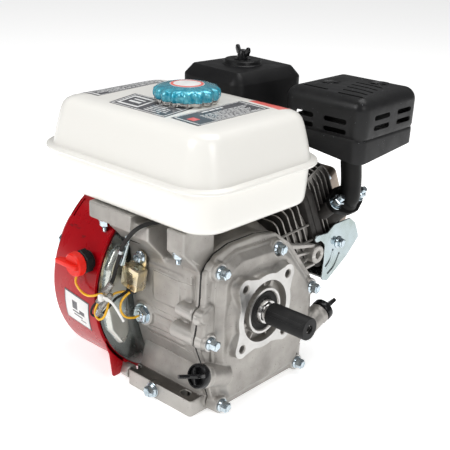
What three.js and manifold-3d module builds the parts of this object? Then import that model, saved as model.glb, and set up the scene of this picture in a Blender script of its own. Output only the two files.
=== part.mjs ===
// Small air-cooled single-cylinder gasoline engine with a horizontal output shaft.
// Units are millimetres. +X runs along the crankshaft towards the output end, +Y towards the
// cylinder head, +Z up. The origin lies on the base plane, under the crankshaft, midway between
// the front and rear pairs of base slots.
import * as THREE from 'three';
import { mergeVertices } from 'three/addons/utils/BufferGeometryUtils.js';
import Module from 'manifold-3d';

const wasm = await Module();
wasm.setup();

// ---------------------------------------------------------------- driving dimensions
const GAP = 0.3; // clearance between touching pieces
const CRANK_Z = 106; // crankshaft centre above the base plane
const CYLINDER_X = 5; // cylinder centre along the crankshaft
const CYLINDER_TILT = 25; // cylinder axis above horizontal, degrees
const BORE_RADIUS = 34;
const CRANK_RADIUS = 22.5; // half of the 45 mm stroke
const ROD_LENGTH = 84;
const DECK = 128.2; // top of the barrel, measured from the crankshaft along the cylinder

const CASE_REAR_X = -48;
const CASE_FRONT_X = 57.7;
const COVER_X = 59.3; // rear face of the side cover
const OUTPUT_FACE_X = 85; // machined mounting face on the side cover
const SHAFT_END_X = 142;
const SHAFT_RADIUS = 12.4; // journals
const BEARING_RADIUS = 26;
const MAIN_HUB_RADIUS = 14; // shaft shoulder, and the holes that clear it
const HUB_RADIUS = 39; // machined ring on the side cover
const COVER_HOLE_CIRCLE = 46.05; // radius of the four tapped holes
const COVER_HOLE_TURN = -2; // degrees

const BASE_HEIGHT = 18;
const BASE_SLOT_X = 38;
const BASE_SLOT_Y = [-66, 96];
const BOSS_RADIUS = 9; // cover bolt bosses on the crankcase
const EAR = { y: 118, z: 126 }; // lug that holds the lower shroud
const ARM_TOP_Z = 206.7; // tank arms

const HOUSING_RADIUS = 110.5;
const HOUSING_FRONT_X = -50;
const HOUSING_REAR_X = -122;
const HOUSING_TOP_Z = 203.5;
const REAR_END_X = -170;
const HOUSING_ARC_END = 244; // degrees, where the round side meets the flat bottom
const HOUSING_BOTTOM_Z = 7;
const REEL_X = -140; // middle of the starter reel

const TANK_BOTTOM_Z = 207;
const TANK_RIM_Z = 252;
const TANK_TOP_Z = 303;
const TANK_RIM = { x0: -158, x1: 96, y0: -105, y1: 85, r: 42 };
const TANK_WALL = 2;
const TANK_LIP = 8; // width of the seam rim
const CAP_CENTRE = [-28, -4];

const CARB_Y = 143; // carburettor throat
const CARB_Z = 166;
const CAM = { y: 38.2, z: 67.8 }; // camshaft axis
const GEAR_X = [42, 50];
const GEAR_MODULE = 2;
const CAM_GEAR_ROOM = 39.4;
const CAM_BORE = 6.5;
const CRANK_TEETH = 18;
const CAM_TEETH = 36;

const ROCKER_ARM = 24; // rocker pivot to valve and to pushrod
const VALVE_OFFSET = 16; // valves and pushrods either side of the cylinder centre
const VALVE_V = 2;
const VALVE_STEM = 2.75;
const VALVE_GUIDE = 3.2;
const ROCKER_BORE = 5;
const PUSHROD_V = 50.5;
const ROCKER_U = 188;
const STEM_END_U = ROCKER_U - 3.2; // top of the valve stems and pushrods
const PLUG = [-30, -40]; // spark plug in the head

const FILLER_X = 71;
const FILLER_TILT = 20; // degrees

const radians = THREE.MathUtils.degToRad;

// ---------------------------------------------------------------- materials
const finish = (color, roughness, metalness) =>
  new THREE.MeshStandardMaterial({ color, roughness, metalness });
const MATERIALS = {
  casting: finish(0x9a948c, 0.55, 0.6),
  machined: finish(0xc9c9c7, 0.3, 0.9),
  steel: finish(0xb4b6b8, 0.3, 0.9),
  darkSteel: finish(0x4a4a4c, 0.45, 0.8),
  iron: finish(0x55524f, 0.6, 0.7),
  zinc: finish(0xb9c4cc, 0.3, 0.9),
  gold: finish(0xb09a5c, 0.35, 0.8),
  red: finish(0xb0101c, 0.25, 0.1),
  knobRed: finish(0xf0281c, 0.4, 0),
  black: finish(0x1a1a1b, 0.5, 0.1),
  blackPaint: finish(0x202022, 0.55, 0.2),
  white: finish(0xf1efe8, 0.25, 0),
  blue: finish(0x1a8fae, 0.3, 0.5),
  rubber: finish(0x151515, 0.8, 0),
  gasket: finish(0x2b2a28, 0.8, 0),
  foam: finish(0x3a3733, 0.95, 0),
};

// ---------------------------------------------------------------- solids and booleans
// Turns a closed geometry into a solid, with shared corners merged and empty triangles dropped.
function solid(shape) {
  if (!(shape instanceof THREE.BufferGeometry)) return shape;
  const bare = shape.clone();
  bare.deleteAttribute('normal');
  bare.deleteAttribute('uv');
  const merged = mergeVertices(bare, 1e-4);
  const corners = merged.index.array;
  const triangles = [];
  for (let i = 0; i < corners.length; i += 3) {
    const [a, b, c] = [corners[i], corners[i + 1], corners[i + 2]];
    if (a !== b && b !== c && c !== a) triangles.push(a, b, c);
  }
  return new wasm.Manifold(new wasm.Mesh({
    numProp: 3,
    vertProperties: new Float32Array(merged.attributes.position.array),
    triVerts: new Uint32Array(triangles),
  }));
}

const join = (first, ...others) => others.reduce((sum, s) => sum.add(solid(s)), solid(first));
const cut = (first, ...tools) => tools.reduce((rest, s) => rest.subtract(solid(s)), solid(first));
const overlap = (first, second) => solid(first).intersect(solid(second));

function geometryOf(shape) {
  const mesh = solid(shape).getMesh();
  const geometry = new THREE.BufferGeometry();
  const position = new THREE.Float32BufferAttribute(mesh.vertProperties, 3);
  geometry.setAttribute('position', position);
  geometry.setIndex(new THREE.Uint32BufferAttribute(mesh.triVerts, 1));
  geometry.computeVertexNormals();
  return geometry;
}

// ---------------------------------------------------------------- shape helpers
const AXES = {
  x: new THREE.Matrix4().makeBasis(
    new THREE.Vector3(0, 1, 0), new THREE.Vector3(0, 0, 1), new THREE.Vector3(1, 0, 0)),
  y: new THREE.Matrix4().makeBasis(
    new THREE.Vector3(0, 0, 1), new THREE.Vector3(1, 0, 0), new THREE.Vector3(0, 1, 0)),
  z: new THREE.Matrix4(),
};

function block(x0, x1, y0, y1, z0, z1) {
  const box = new THREE.BoxGeometry(x1 - x0, y1 - y0, z1 - z0);
  return box.translate((x0 + x1) / 2, (y0 + y1) / 2, (z0 + z1) / 2);
}

// Outline swept along one axis. On x the outline is (y, z), on y it is (z, x), on z it is (x, y).
function prism(axis, outline, from, to, curveSegments = 5) {
  const shape = Array.isArray(outline) ? polygon(outline) : outline;
  const options = { depth: to - from, bevelEnabled: false, curveSegments };
  const geometry = new THREE.ExtrudeGeometry(shape, options);
  return geometry.translate(0, 0, from).applyMatrix4(AXES[axis]);
}

const polygon = (points) => new THREE.Shape(points.map(([a, b]) => new THREE.Vector2(a, b)));

// Polygon whose corners are softened by curves that start at most the given distance away.
function softPolygon(points, radius) {
  const shape = new THREE.Shape();
  points.forEach(([a, b], i) => {
    const corner = new THREE.Vector2(a, b);
    const before = new THREE.Vector2(...points[(i + points.length - 1) % points.length]);
    const after = new THREE.Vector2(...points[(i + 1) % points.length]);
    const back = Math.min(radius, corner.distanceTo(before) / 2.05);
    const ahead = Math.min(radius, corner.distanceTo(after) / 2.05);
    const start = corner.clone().lerp(before, back / corner.distanceTo(before));
    const end = corner.clone().lerp(after, ahead / corner.distanceTo(after));
    if (i === 0) shape.moveTo(start.x, start.y);
    else shape.lineTo(start.x, start.y);
    shape.quadraticCurveTo(corner.x, corner.y, end.x, end.y);
  });
  return shape;
}

const softBox = (a0, a1, b0, b1, r) => softPolygon([[a0, b0], [a1, b0], [a1, b1], [a0, b1]], r);

function ringShape(outer, inner, a = 0, b = 0) {
  const shape = new THREE.Shape().absarc(a, b, outer, 0, 2 * Math.PI);
  if (inner) shape.holes.push(new THREE.Path().absarc(a, b, inner, 0, 2 * Math.PI));
  return shape;
}

const tube = (axis, outer, inner, from, to, a = 0, b = 0, segments = 14) =>
  prism(axis, ringShape(outer, inner, a, b), from, to, segments);

// Round bar between two points.
function rod(start, end, radius, segments = 16, endRadius = radius) {
  const a = new THREE.Vector3(...start);
  const b = new THREE.Vector3(...end);
  const geometry = new THREE.CylinderGeometry(endRadius, radius, a.distanceTo(b), segments);
  const up = new THREE.Vector3(0, 1, 0);
  const turn = new THREE.Quaternion().setFromUnitVectors(up, b.clone().sub(a).normalize());
  geometry.applyQuaternion(turn);
  const middle = a.add(b).multiplyScalar(0.5);
  return geometry.translate(middle.x, middle.y, middle.z);
}

// Solid of revolution; the profile runs anticlockwise, so that the faces point out.
function lathe(profile, segments) {
  const points = profile.map(([r, height]) => new THREE.Vector2(r, height));
  if (THREE.ShapeUtils.isClockWise(points)) points.reverse();
  return new THREE.LatheGeometry(points, segments);
}

// Profile of (radius, x) points turned about the line parallel to X through (y, z).
function turned(profile, y = 0, z = 0, segments = 32) {
  return lathe(profile, segments).rotateZ(-Math.PI / 2).translate(0, y, z);
}

// Profile of (radius, z) points turned about the vertical line through (x, y).
function turnedUp(profile, x, y, segments = 32) {
  return lathe(profile, segments).rotateX(Math.PI / 2).translate(x, y, 0);
}

// Box with rounded upright corners and rounded top and bottom edges.
function pillow(x0, x1, y0, y1, corner, z0, z1, round, steps = 3, cornerSteps = 5) {
  const outline = softBox(x0 + round, x1 - round, y0 + round, y1 - round, corner - round);
  const geometry = new THREE.ExtrudeGeometry(outline, {
    depth: z1 - z0 - 2 * round,
    bevelThickness: round,
    bevelSize: round,
    bevelSegments: steps,
    curveSegments: cornerSteps,
  });
  return geometry.translate(0, 0, z0 + round);
}

// Shrinks a geometry towards a vertical centre line as it rises from z0 (scale 1) to z1.
function taper(geometry, [x, y], z0, z1, scale) {
  const position = geometry.attributes.position;
  for (let i = 0; i < position.count; i += 1) {
    const factor = 1 + (scale - 1) * ((position.getZ(i) - z0) / (z1 - z0));
    position.setX(i, x + (position.getX(i) - x) * factor);
    position.setY(i, y + (position.getY(i) - y) * factor);
  }
  return geometry;
}

// Trapezoid gear teeth; the first tooth points along the given angle.
function gearShape(teeth, angle) {
  const pitch = (2 * Math.PI) / teeth;
  const radius = (teeth * GEAR_MODULE) / 2;
  const root = radius - 1.2 * GEAR_MODULE;
  const tip = radius + 0.85 * GEAR_MODULE;
  const points = [];
  for (let i = 0; i < teeth; i += 1) {
    const middle = angle + i * pitch;
    for (const [r, share] of [[root, -0.31], [tip, -0.12], [tip, 0.12], [root, 0.31]]) {
      const direction = middle + share * pitch;
      points.push([r * Math.cos(direction), r * Math.sin(direction)]);
    }
  }
  return polygon(points);
}

// ---------------------------------------------------------------- assembly tree
const engine = new THREE.Group();
// In the cylinder's own frame z runs up the bore and +y is the underside of the barrel.
const cylinder = new THREE.Group();
cylinder.position.set(CYLINDER_X, 0, CRANK_Z);
cylinder.rotation.x = radians(CYLINDER_TILT - 90);
cylinder.updateMatrix();
engine.add(cylinder);
const tilted = (geometry) => geometry.applyMatrix4(cylinder.matrix);
const inCylinder = (x, y, z) =>
  new THREE.Vector3(x, y, z).applyMatrix4(cylinder.matrix.clone().invert()).toArray();

// Shafts, gears and the flywheel are modelled about their own axis.
const crank = new THREE.Group();
crank.position.set(0, 0, CRANK_Z);
engine.add(crank);

function add(parent, name, shape, material) {
  const mesh = new THREE.Mesh(geometryOf(shape), MATERIALS[material]);
  mesh.name = name;
  parent.add(mesh);
  return mesh;
}

// ---------------------------------------------------------------- casing outlines
const CASE_OUTLINE = [
  [-36, 0], [84, 0], [88, 30], [103, 54], [103, 86], [98, 110], [60, 158], [34, 172],
  [-52, 172], [-69, 160], [-67, 105], [-60, 70], [-50, 38], [-38, 18],
];
const CASE_CAVITY = [
  [-30, 8], [78, 8], [82, 34], [96, 56], [96, 86], [91, 108], [56, 150], [30, 164],
  [-48, 164], [-61, 156], [-60, 104], [-53, 72], [-44, 42], [-32, 24],
];
const COVER_OUTLINE = [
  [-50, 2], [76, 2], [86, 12], [88, 30], [103, 54], [103, 86], [99, 110], [60, 158],
  [34, 177], [6, 182], [-32, 182], [-54, 176], [-69, 162], [-71, 120], [-76, 96],
  [-74, 80], [-66, 60], [-60, 30],
];
const COVER_DOME = [
  [-42, 12], [70, 12], [78, 32], [93, 56], [93, 84], [89, 106], [53, 150], [30, 168],
  [-28, 172], [-44, 166], [-55, 150], [-58, 110], [-58, 70], [-52, 36],
];
const COVER_BOLTS = [[-56, 162], [30, 163], [-68, 89.5], [-49, 11.5], [74, 12.5], [93, 99]];
const softCase = (points) => softPolygon(points, 9);

function baseSlot(x, y) {
  return prism('z', softBox(x - 6, x + 6, y - 4.5, y + 4.5, 4.5), -1, BASE_HEIGHT + 1, 3);
}

// ---------------------------------------------------------------- crankcase with finned barrel
function crankcase() {
  const body = prism('x', softCase(CASE_OUTLINE), CASE_REAR_X, CASE_FRONT_X, 1);
  const cavity = prism('x', softCase(CASE_CAVITY), CASE_REAR_X + 10, CASE_FRONT_X + 1, 1);
  const foot = block(-40, 55, -76.5, 106, 0, BASE_HEIGHT);
  const footInside = block(-38, 60, -28, 76, 8, BASE_HEIGHT + 1);
  const bearingBoss = tube('x', 34, 0, CASE_REAR_X, -31, 0, CRANK_Z, 9);
  const camBoss = tube('x', 12, 0, CASE_REAR_X, -34, CAM.y, CAM.z, 8);
  const shell = join(cut(join(body, foot), cavity, footInside), bearingBoss, camBoss);

  const bosses = COVER_BOLTS.map(([y, z]) => tube('x', BOSS_RADIUS, 0, 36, CASE_FRONT_X, y, z, 4));
  const levelBoss = rod([-25, -54, 87], [-25, -68, 87], 14, 12);
  const drainBoss = rod([0, -70, 10], [0, -77.5, 10], 9, 12);

  const longArm = prism('x',
    [[-96, 189], [-72, 163], [-66, 150], [-57, 166], [-50, 171], [-50, ARM_TOP_Z], [-96, ARM_TOP_Z]],
    -44, -12);
  const lowArm = prism('x',
    [[-91, 184], [-72, 163], [-66, 150], [-57, 166], [-50, 171], [-50, 198.5], [-91, 198.5]],
    -13, 8);
  const armTip = block(-76, -43, -96, -79, 189, ARM_TOP_Z);
  const shortArm = prism('x',
    [[-92, 184], [-71, 162], [-66, 150], [-57, 166], [-50, 171], [-50, ARM_TOP_Z], [-92, ARM_TOP_Z]],
    34, CASE_FRONT_X);
  const rearPost = block(-20, 20, 14, 32, 160, ARM_TOP_Z);

  const ear = rod([34, EAR.y, EAR.z], [62, EAR.y, EAR.z], 9, 12);
  const earWeb = prism('x', [[90, 110], [114, 117], [120, 134], [84, 142]], 36, 50);

  const barrel = tilted(tube('z', 44, 0, 52, DECK, 0, 0, 10));
  const tunnel = tilted(block(-25, 25, 30, 60, 52, DECK));
  const deck = tilted(prism('z', softBox(-50, 50, -46, 62, 10), 121, DECK, 2));
  const fins = [];
  for (let u = 75; u < 118; u += 9) {
    fins.push(tilted(prism('z', softBox(-48, 48, -46, 48, 8), u, u + 2.4, 1)));
  }
  const outer = join(shell, ...bosses, levelBoss, drainBoss, longArm, lowArm, armTip, shortArm,
    rearPost, ear, earWeb, barrel, tunnel, deck, ...fins);

  const bore = tilted(tube('z', 38.3, 0, 40, DECK + 1, 0, 0, 10));
  const pushrodSlot = tilted(block(-21, 21, 45, 56, 30, DECK + 1));
  const seat = tube('x', BEARING_RADIUS + GAP, 0, -46.3, -25, 0, CRANK_Z, 10);
  const shaftHole = tube('x', MAIN_HUB_RADIUS, 0, CASE_REAR_X - 1, -40, 0, CRANK_Z, 8);
  const camHole = tube('x', CAM_BORE, 0, -44, -25, CAM.y, CAM.z, 6);
  const earHole = rod([45, EAR.y, EAR.z], [63, EAR.y, EAR.z], 3.4, 8);
  const gearRoom = tube('x', CAM_GEAR_ROOM, 0, GEAR_X[0] - 1.5, CASE_FRONT_X + 1,
    CAM.y, CAM.z, 9);
  const slots = [];
  for (const x of [-BASE_SLOT_X, BASE_SLOT_X]) {
    for (const y of BASE_SLOT_Y) slots.push(baseSlot(x, y));
  }
  return cut(outer, bore, pushrodSlot, seat, shaftHole, camHole, earHole, gearRoom, ...slots);
}
add(engine, 'crankcase', crankcase(), 'casting');
add(cylinder, 'cylinder_liner', tube('z', 38, BORE_RADIUS, 46, DECK, 0, 0, 10), 'iron');

// ---------------------------------------------------------------- side cover
function outputEar(k) {
  const angle = radians(45 + COVER_HOLE_TURN + 90 * k);
  const y = COVER_HOLE_CIRCLE * Math.cos(angle);
  const z = CRANK_Z + COVER_HOLE_CIRCLE * Math.sin(angle);
  return [y, z];
}

function fillerNeck(side) {
  const tilt = radians(FILLER_TILT);
  const [y, z] = side < 0 ? [-77.5, 56.5] : [116, 59.5];
  const out = [side * Math.cos(tilt), Math.sin(tilt)];
  const at = (d) => [FILLER_X, y + out[0] * d, z + out[1] * d];
  return { at, out };
}

function sideCover() {
  const flange = prism('x', softCase(COVER_OUTLINE), COVER_X, 66, 1);
  const dome = prism('x', softCase(COVER_DOME), COVER_X, 75, 1);
  const bosses = COVER_BOLTS.map(([y, z]) => tube('x', 9.5, 0, COVER_X, 73, y, z, 5));
  const hub = tube('x', HUB_RADIUS, 0, 70, OUTPUT_FACE_X, 0, CRANK_Z, 12);
  const ears = [0, 1, 2, 3].map((k) => tube('x', 10, 0, 66, OUTPUT_FACE_X, ...outputEar(k), 5));
  const necks = [-1, 1].map((side) => {
    const { at } = fillerNeck(side);
    return rod(at(-34), at(0), 11.5, 14);
  });
  const cavity = prism('x', softCase(CASE_CAVITY), COVER_X - 1, 68.5, 1);
  const shell = cut(join(flange, dome, ...bosses, hub, ...ears, ...necks), cavity);
  const innerHub = tube('x', 33, 0, COVER_X, 80, 0, CRANK_Z, 9);
  const camHub = tube('x', 12, 0, COVER_X, 72, CAM.y, CAM.z, 7);
  const tools = [
    tube('x', 32.5, 25, 76, OUTPUT_FACE_X + 1, 0, CRANK_Z, 10),
    tube('x', BEARING_RADIUS + GAP, 0, COVER_X - 1, 74.5, 0, CRANK_Z, 10),
    tube('x', MAIN_HUB_RADIUS, 0, 70, 80, 0, CRANK_Z, 8),
    tube('x', 20.9, 0, 76.3, OUTPUT_FACE_X + 1, 0, CRANK_Z, 10),
    tube('x', CAM_BORE, 0, COVER_X - 1, 67, CAM.y, CAM.z, 6),
    tube('x', CAM_GEAR_ROOM, 0, COVER_X - 1, COVER_X + 1, CAM.y, CAM.z, 9),
  ];
  for (let k = 0; k < 4; k += 1) {
    tools.push(tube('x', 3.9, 0, 72, OUTPUT_FACE_X + 1, ...outputEar(k), 4));
  }
  for (const side of [-1, 1]) {
    const { at } = fillerNeck(side);
    tools.push(rod(at(-40), at(1), 8.2, 12));
  }
  return cut(join(shell, innerHub, camHub), ...tools);
}
add(engine, 'side_cover', sideCover(), 'casting');
add(engine, 'cover_gasket', cut(
  prism('x', softCase(COVER_OUTLINE), CASE_FRONT_X + GAP, COVER_X - GAP, 1),
  prism('x', softCase(CASE_CAVITY), CASE_FRONT_X, COVER_X, 1),
), 'gasket');
add(crank, 'output_oil_seal', tube('x', 20.6, 12.9, 76.6, 84.5, 0, 0, 10), 'rubber');
add(crank, 'output_bearing', tube('x', BEARING_RADIUS, 12.8, 59.7, 74.2, 0, 0, 10), 'steel');
add(crank, 'flywheel_bearing', tube('x', BEARING_RADIUS, 12.8, -46, -31.5, 0, 0, 10), 'steel');

// ---------------------------------------------------------------- cylinder head and valve cover
const PORT = { x: 65, y: 152, z: 182 }; // middle of the exhaust flange
const PORT_OUT = Math.SQRT1_2; // the flange faces half up, half along +X
const portPoint = (d) => [PORT.x + PORT_OUT * d, PORT.y, PORT.z + PORT_OUT * d];

function cylinderHead() {
  const base = prism('z', softBox(-50, 50, -48, 64, 12), DECK + 0.4, 138, 2);
  const core = prism('z', softBox(-34, 36, -34, 60, 10), 137, 170, 2);
  const fins = [];
  for (let u = 141; u < 169; u += 6.6) {
    fins.push(prism('z', softBox(-50, 50, -56, 50, 14), u, u + 1.9, 1));
  }
  const rim = prism('z', softBox(-34, 36, -26, 64, 10), 168, 176.2, 2);
  const boss = rod(inCylinder(...portPoint(-32)), inCylinder(...portPoint(-0.4)), 13.5, 14);
  const plugBoss = rod([...PLUG, 138], [...PLUG, 172], 11, 14);
  const outer = join(base, core, ...fins, rim, boss, plugBoss);
  const rockerRoom = prism('z', softBox(-29, 31, -20, 58, 7), 164, 178, 2);
  const chamber = prism('z', softBox(-31, 31, -14, 18, 13), DECK - 1, 137, 3);
  const pushrodSlot = block(-21, 21, 45, 56, DECK - 1, 166);
  const plugHole = rod([...PLUG, 150], [...PLUG, 174], 7, 12);
  const port = rod(inCylinder(...portPoint(-20)), inCylinder(...portPoint(1)), 10, 12);
  const flangeRoom = rod(inCylinder(...portPoint(-GAP)), inCylinder(...portPoint(20)), 19, 14);
  const hollow = cut(outer, rockerRoom, chamber, pushrodSlot, plugHole, port, flangeRoom);
  const pillars = [];
  const guides = [];
  for (const x of [-VALVE_OFFSET, VALVE_OFFSET]) {
    pillars.push(tube('z', 5, 0, 160, 183, x, VALVE_V + ROCKER_ARM, 5));
    pillars.push(tube('z', 2.8, 0, 182, 199, x, VALVE_V + ROCKER_ARM, 4));
    guides.push(tube('z', VALVE_GUIDE, 0, 130, 178, x, VALVE_V, 4));
  }
  return cut(join(hollow, ...pillars), ...guides);
}
add(cylinder, 'cylinder_head', cylinderHead(), 'casting');
add(cylinder, 'valve_cover', cut(
  pillow(-34, 36, -26, 64, 12, 162, 206, 7, 1, 2),
  block(-60, 60, -60, 80, 150, 176.6),
  pillow(-31.5, 33.5, -23.5, 61.5, 10, 160, 203.5, 5, 1, 2),
), 'steel');
add(cylinder, 'spark_plug', join(
  rod([...PLUG, 150.5], [...PLUG, 174.5], 6.6, 12),
  rod([...PLUG, 174.4], [...PLUG, 181], 9.5, 6),
  rod([...PLUG, 180.5], [...PLUG, 200], 5, 12),
), 'steel');
add(cylinder, 'spark_plug_cap', cut(
  join(
    rod([...PLUG, 184], [...PLUG, 208], 9, 14),
    rod([...PLUG, 205], [PLUG[0] - 11, PLUG[1], 205], 6.5, 12),
  ),
  rod([...PLUG, 183], [...PLUG, 201], 5.4, 12),
), 'rubber');

// ---------------------------------------------------------------- valve train
for (const [kind, x, angle] of [['intake', -VALVE_OFFSET, 60], ['exhaust', VALVE_OFFSET, 170]]) {
  add(cylinder, `${kind}_valve`, join(
    tube('z', 12.5, 0, 133.6, 135.6, x, VALVE_V, 7),
    tube('z', VALVE_STEM, 0, 135, STEM_END_U, x, VALVE_V, 4),
  ), 'steel');
  add(cylinder, `${kind}_pushrod`, tube('z', 3, 0, 34, STEM_END_U, x, PUSHROD_V, 4), 'steel');
  const arm = prism('x', softPolygon([
    [-3, ROCKER_U - 2], [55, ROCKER_U - 2], [55, ROCKER_U + 3], [34, ROCKER_U + 7],
    [18, ROCKER_U + 7], [-3, ROCKER_U + 3],
  ], 3), x - 6, x + 6, 2);
  add(cylinder, `${kind}_rocker`,
    cut(arm, tube('z', ROCKER_BORE, 0, 180, 200, x, VALVE_V + ROCKER_ARM, 5)), 'steel');
}

function camLobe(from, to, angle) {
  const [y, z] = [10 * Math.cos(radians(angle)), 10 * Math.sin(radians(angle))];
  const side = [9 * Math.cos(radians(angle + 90)), 9 * Math.sin(radians(angle + 90))];
  const tip = [y + side[0] * 0.44, z + side[1] * 0.44];
  const far = [y - side[0] * 0.44, z - side[1] * 0.44];
  const flank = prism('x', [side, tip, far, [-side[0], -side[1]]], from, to);
  return join(tube('x', 9, 0, from, to, 0, 0, 6), tube('x', 4, 0, from, to, y, z, 4), flank);
}
const camGroup = new THREE.Group();
camGroup.position.set(0, CAM.y, CAM.z);
engine.add(camGroup);
add(camGroup, 'camshaft', join(
  tube('x', 6, 0, -43.5, 66.5, 0, 0, 6),
  camLobe(-15, -7, 60),
  camLobe(17, 25, 170),
  tube('x', 10, 0, 36, GEAR_X[0] - GAP, 0, 0, 6),
), 'iron');
const camAngle = Math.atan2(CAM.z - CRANK_Z, CAM.y);
const camGear = gearShape(CAM_TEETH, camAngle + Math.PI + Math.PI / CAM_TEETH);
add(camGroup, 'cam_gear',
  cut(prism('x', camGear, ...GEAR_X), tube('x', 6.6, 0, 40, 52, 0, 0, 6)), 'darkSteel');

// ---------------------------------------------------------------- crankshaft and flywheel
// The crank pin points up the cylinder; each half carries one web and ends just short of the pin.
const pinAngle = radians(CYLINDER_TILT);
const pinAt = [CRANK_RADIUS * Math.cos(pinAngle), CRANK_RADIUS * Math.sin(pinAngle)];

function crankWeb(from, to) {
  const sideways = [-Math.sin(pinAngle), Math.cos(pinAngle)];
  const corner = (along, across) => [
    along * Math.cos(pinAngle) + across * sideways[0],
    along * Math.sin(pinAngle) + across * sideways[1],
  ];
  const cheek = prism('x', [corner(26, 15), corner(-10, 30), corner(-10, -30), corner(26, -15)],
    from, to);
  const weight = new THREE.Shape().absarc(0, 0, 38, pinAngle + 1.9, pinAngle + 2 * Math.PI - 1.9);
  return join(tube('x', 15.8, 0, from, to, ...pinAt, 7), tube('x', 20, 0, from, to, 0, 0, 8),
    cheek, prism('x', weight, from, to, 10));
}
add(crank, 'crankshaft_output_half', cut(
  join(
    crankWeb(16.5, 28),
    tube('x', MAIN_HUB_RADIUS, 0, 27, 59, 0, 0, 8),
    tube('x', SHAFT_RADIUS, 0, 58, 88.5, 0, 0, 8),
    tube('x', 9.5, 0, 88, SHAFT_END_X - 2.3, 0, 0, 8),
  ),
  tube('x', 3.2, 0, SHAFT_END_X - 30, SHAFT_END_X, 0, 0, 4),
  block(94, SHAFT_END_X, -2.4, 2.4, -12, -7),
), 'steel');
add(crank, 'crankshaft_flywheel_half', join(
  crankWeb(-18, -6.5),
  tube('x', 16, 0, -30, -17, 0, 0, 8),
  tube('x', SHAFT_RADIUS, 0, -90, -29, 0, 0, 8),
  tube('x', 6, 0, -118, -89, 0, 0, 5),
), 'steel');
const crankGear = gearShape(CRANK_TEETH, camAngle);
add(crank, 'timing_gear',
  cut(prism('x', crankGear, ...GEAR_X), tube('x', 14.5, 0, 40, 52, 0, 0, 10)), 'darkSteel');
add(crank, 'shaft_sleeve', cut(
  tube('x', 11.7, 0, 89, SHAFT_END_X, 0, 0, 8),
  tube('x', 9.8, 0, 88, SHAFT_END_X - 2, 0, 0, 8),
  tube('x', 3.6, 0, SHAFT_END_X - 3, SHAFT_END_X + 1, 0, 0, 5),
), 'black');
add(crank, 'flywheel', turned([
  [12.8, -58], [30, -58], [34, -64], [70, -64], [74, -58], [90, -58], [90, -90], [80, -90],
  [76, -74], [22, -74], [22, -104], [7, -104], [7, -90.4], [12.8, -90.4], [12.8, -58],
], 0, 0, 22), 'iron');
const FAN_BLADES = 10;
const fanBlades = [];
for (let i = 0; i < FAN_BLADES; i += 1) {
  const blade = block(-110, -92, 44, 87, -1.4, 1.4).rotateX((i * 2 * Math.PI) / FAN_BLADES);
  fanBlades.push(blade);
}
add(crank, 'cooling_fan', join(tube('x', 88, 42, -93, -90.4, 0, 0, 8), ...fanBlades), 'black');
add(crank, 'starter_cup', turned([
  [6.4, -104.4], [34, -104.4], [34, -124], [31, -124], [31, -107.4], [6.4, -107.4],
  [6.4, -104.4],
], 0, 0, 18), 'steel');
add(crank, 'flywheel_nut', cut(
  rod([-117, 0, 0], [-107.8, 0, 0], 12, 6),
  tube('x', 6.6, 0, -120, -100, 0, 0, 6),
), 'steel');

// ---------------------------------------------------------------- piston and connecting rod
const WRIST_U = CRANK_RADIUS + ROD_LENGTH; // wrist pin at the top of the stroke
function piston() {
  const crown = tube('z', 33.6, 0, WRIST_U - 18, DECK - 1, 0, 0, 10);
  const inside = tube('z', 29.5, 0, WRIST_U - 19, DECK - 8, 0, 0, 10);
  const pinBosses = [-1, 1].map((side) =>
    rod([side * 12.5, 0, WRIST_U], [side * 31, 0, WRIST_U], 13, 16));
  const trimmed = overlap(join(...pinBosses, block(-31, -12.5, -8, 8, WRIST_U, DECK - 4),
    block(12.5, 31, -8, 8, WRIST_U, DECK - 4)), tube('z', 31, 0, 60, DECK - 4, 0, 0, 10));
  return cut(join(cut(crown, inside), trimmed), rod([-40, 0, WRIST_U], [40, 0, WRIST_U], 9.3, 20));
}
add(cylinder, 'piston', piston(), 'machined');
add(cylinder, 'wrist_pin', cut(
  rod([-28, 0, WRIST_U], [28, 0, WRIST_U], 9, 20),
  rod([-29, 0, WRIST_U], [29, 0, WRIST_U], 6, 16),
), 'steel');

const bigEnd = (radius, length) =>
  rod([-length, 0, CRANK_RADIUS], [length, 0, CRANK_RADIUS], radius, 20);
const rodLugs = block(-8, 8, -19, 19, CRANK_RADIUS - 8, CRANK_RADIUS + 8);
const rodBody = join(
  rod([-9, 0, WRIST_U], [9, 0, WRIST_U], 13, 20),
  block(-6, 6, -8, 8, CRANK_RADIUS + 10, WRIST_U - 8),
  bigEnd(20.5, 9),
  rodLugs,
);
const rodHoles = [bigEnd(15.4, 12), rod([-12, 0, WRIST_U], [12, 0, WRIST_U], 9.3, 20)];
add(cylinder, 'connecting_rod',
  cut(rodBody, block(-20, 20, -40, 40, -10, CRANK_RADIUS), ...rodHoles), 'machined');
add(cylinder, 'rod_cap', cut(
  join(bigEnd(20.5, 9), rodLugs),
  block(-20, 20, -40, 40, CRANK_RADIUS - GAP, 60),
  bigEnd(15.4, 12),
), 'machined');
add(cylinder, 'crank_pin', bigEnd(15, 11), 'steel');

// ---------------------------------------------------------------- blower housing and shrouds
function housingOutline(inset) {
  const radius = HOUSING_RADIUS - inset;
  const top = HOUSING_TOP_Z - inset;
  const start = Math.PI - Math.asin((top - CRANK_Z) / radius);
  const shape = new THREE.Shape();
  shape.absarc(0, CRANK_Z, radius, start, radians(HOUSING_ARC_END));
  shape.lineTo(96 - inset, HOUSING_BOTTOM_Z + inset);
  shape.lineTo(117 - inset, 56);
  shape.lineTo(117 - inset, 150);
  shape.lineTo(98 - inset, 190);
  shape.lineTo(66, top);
  return shape;
}
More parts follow.
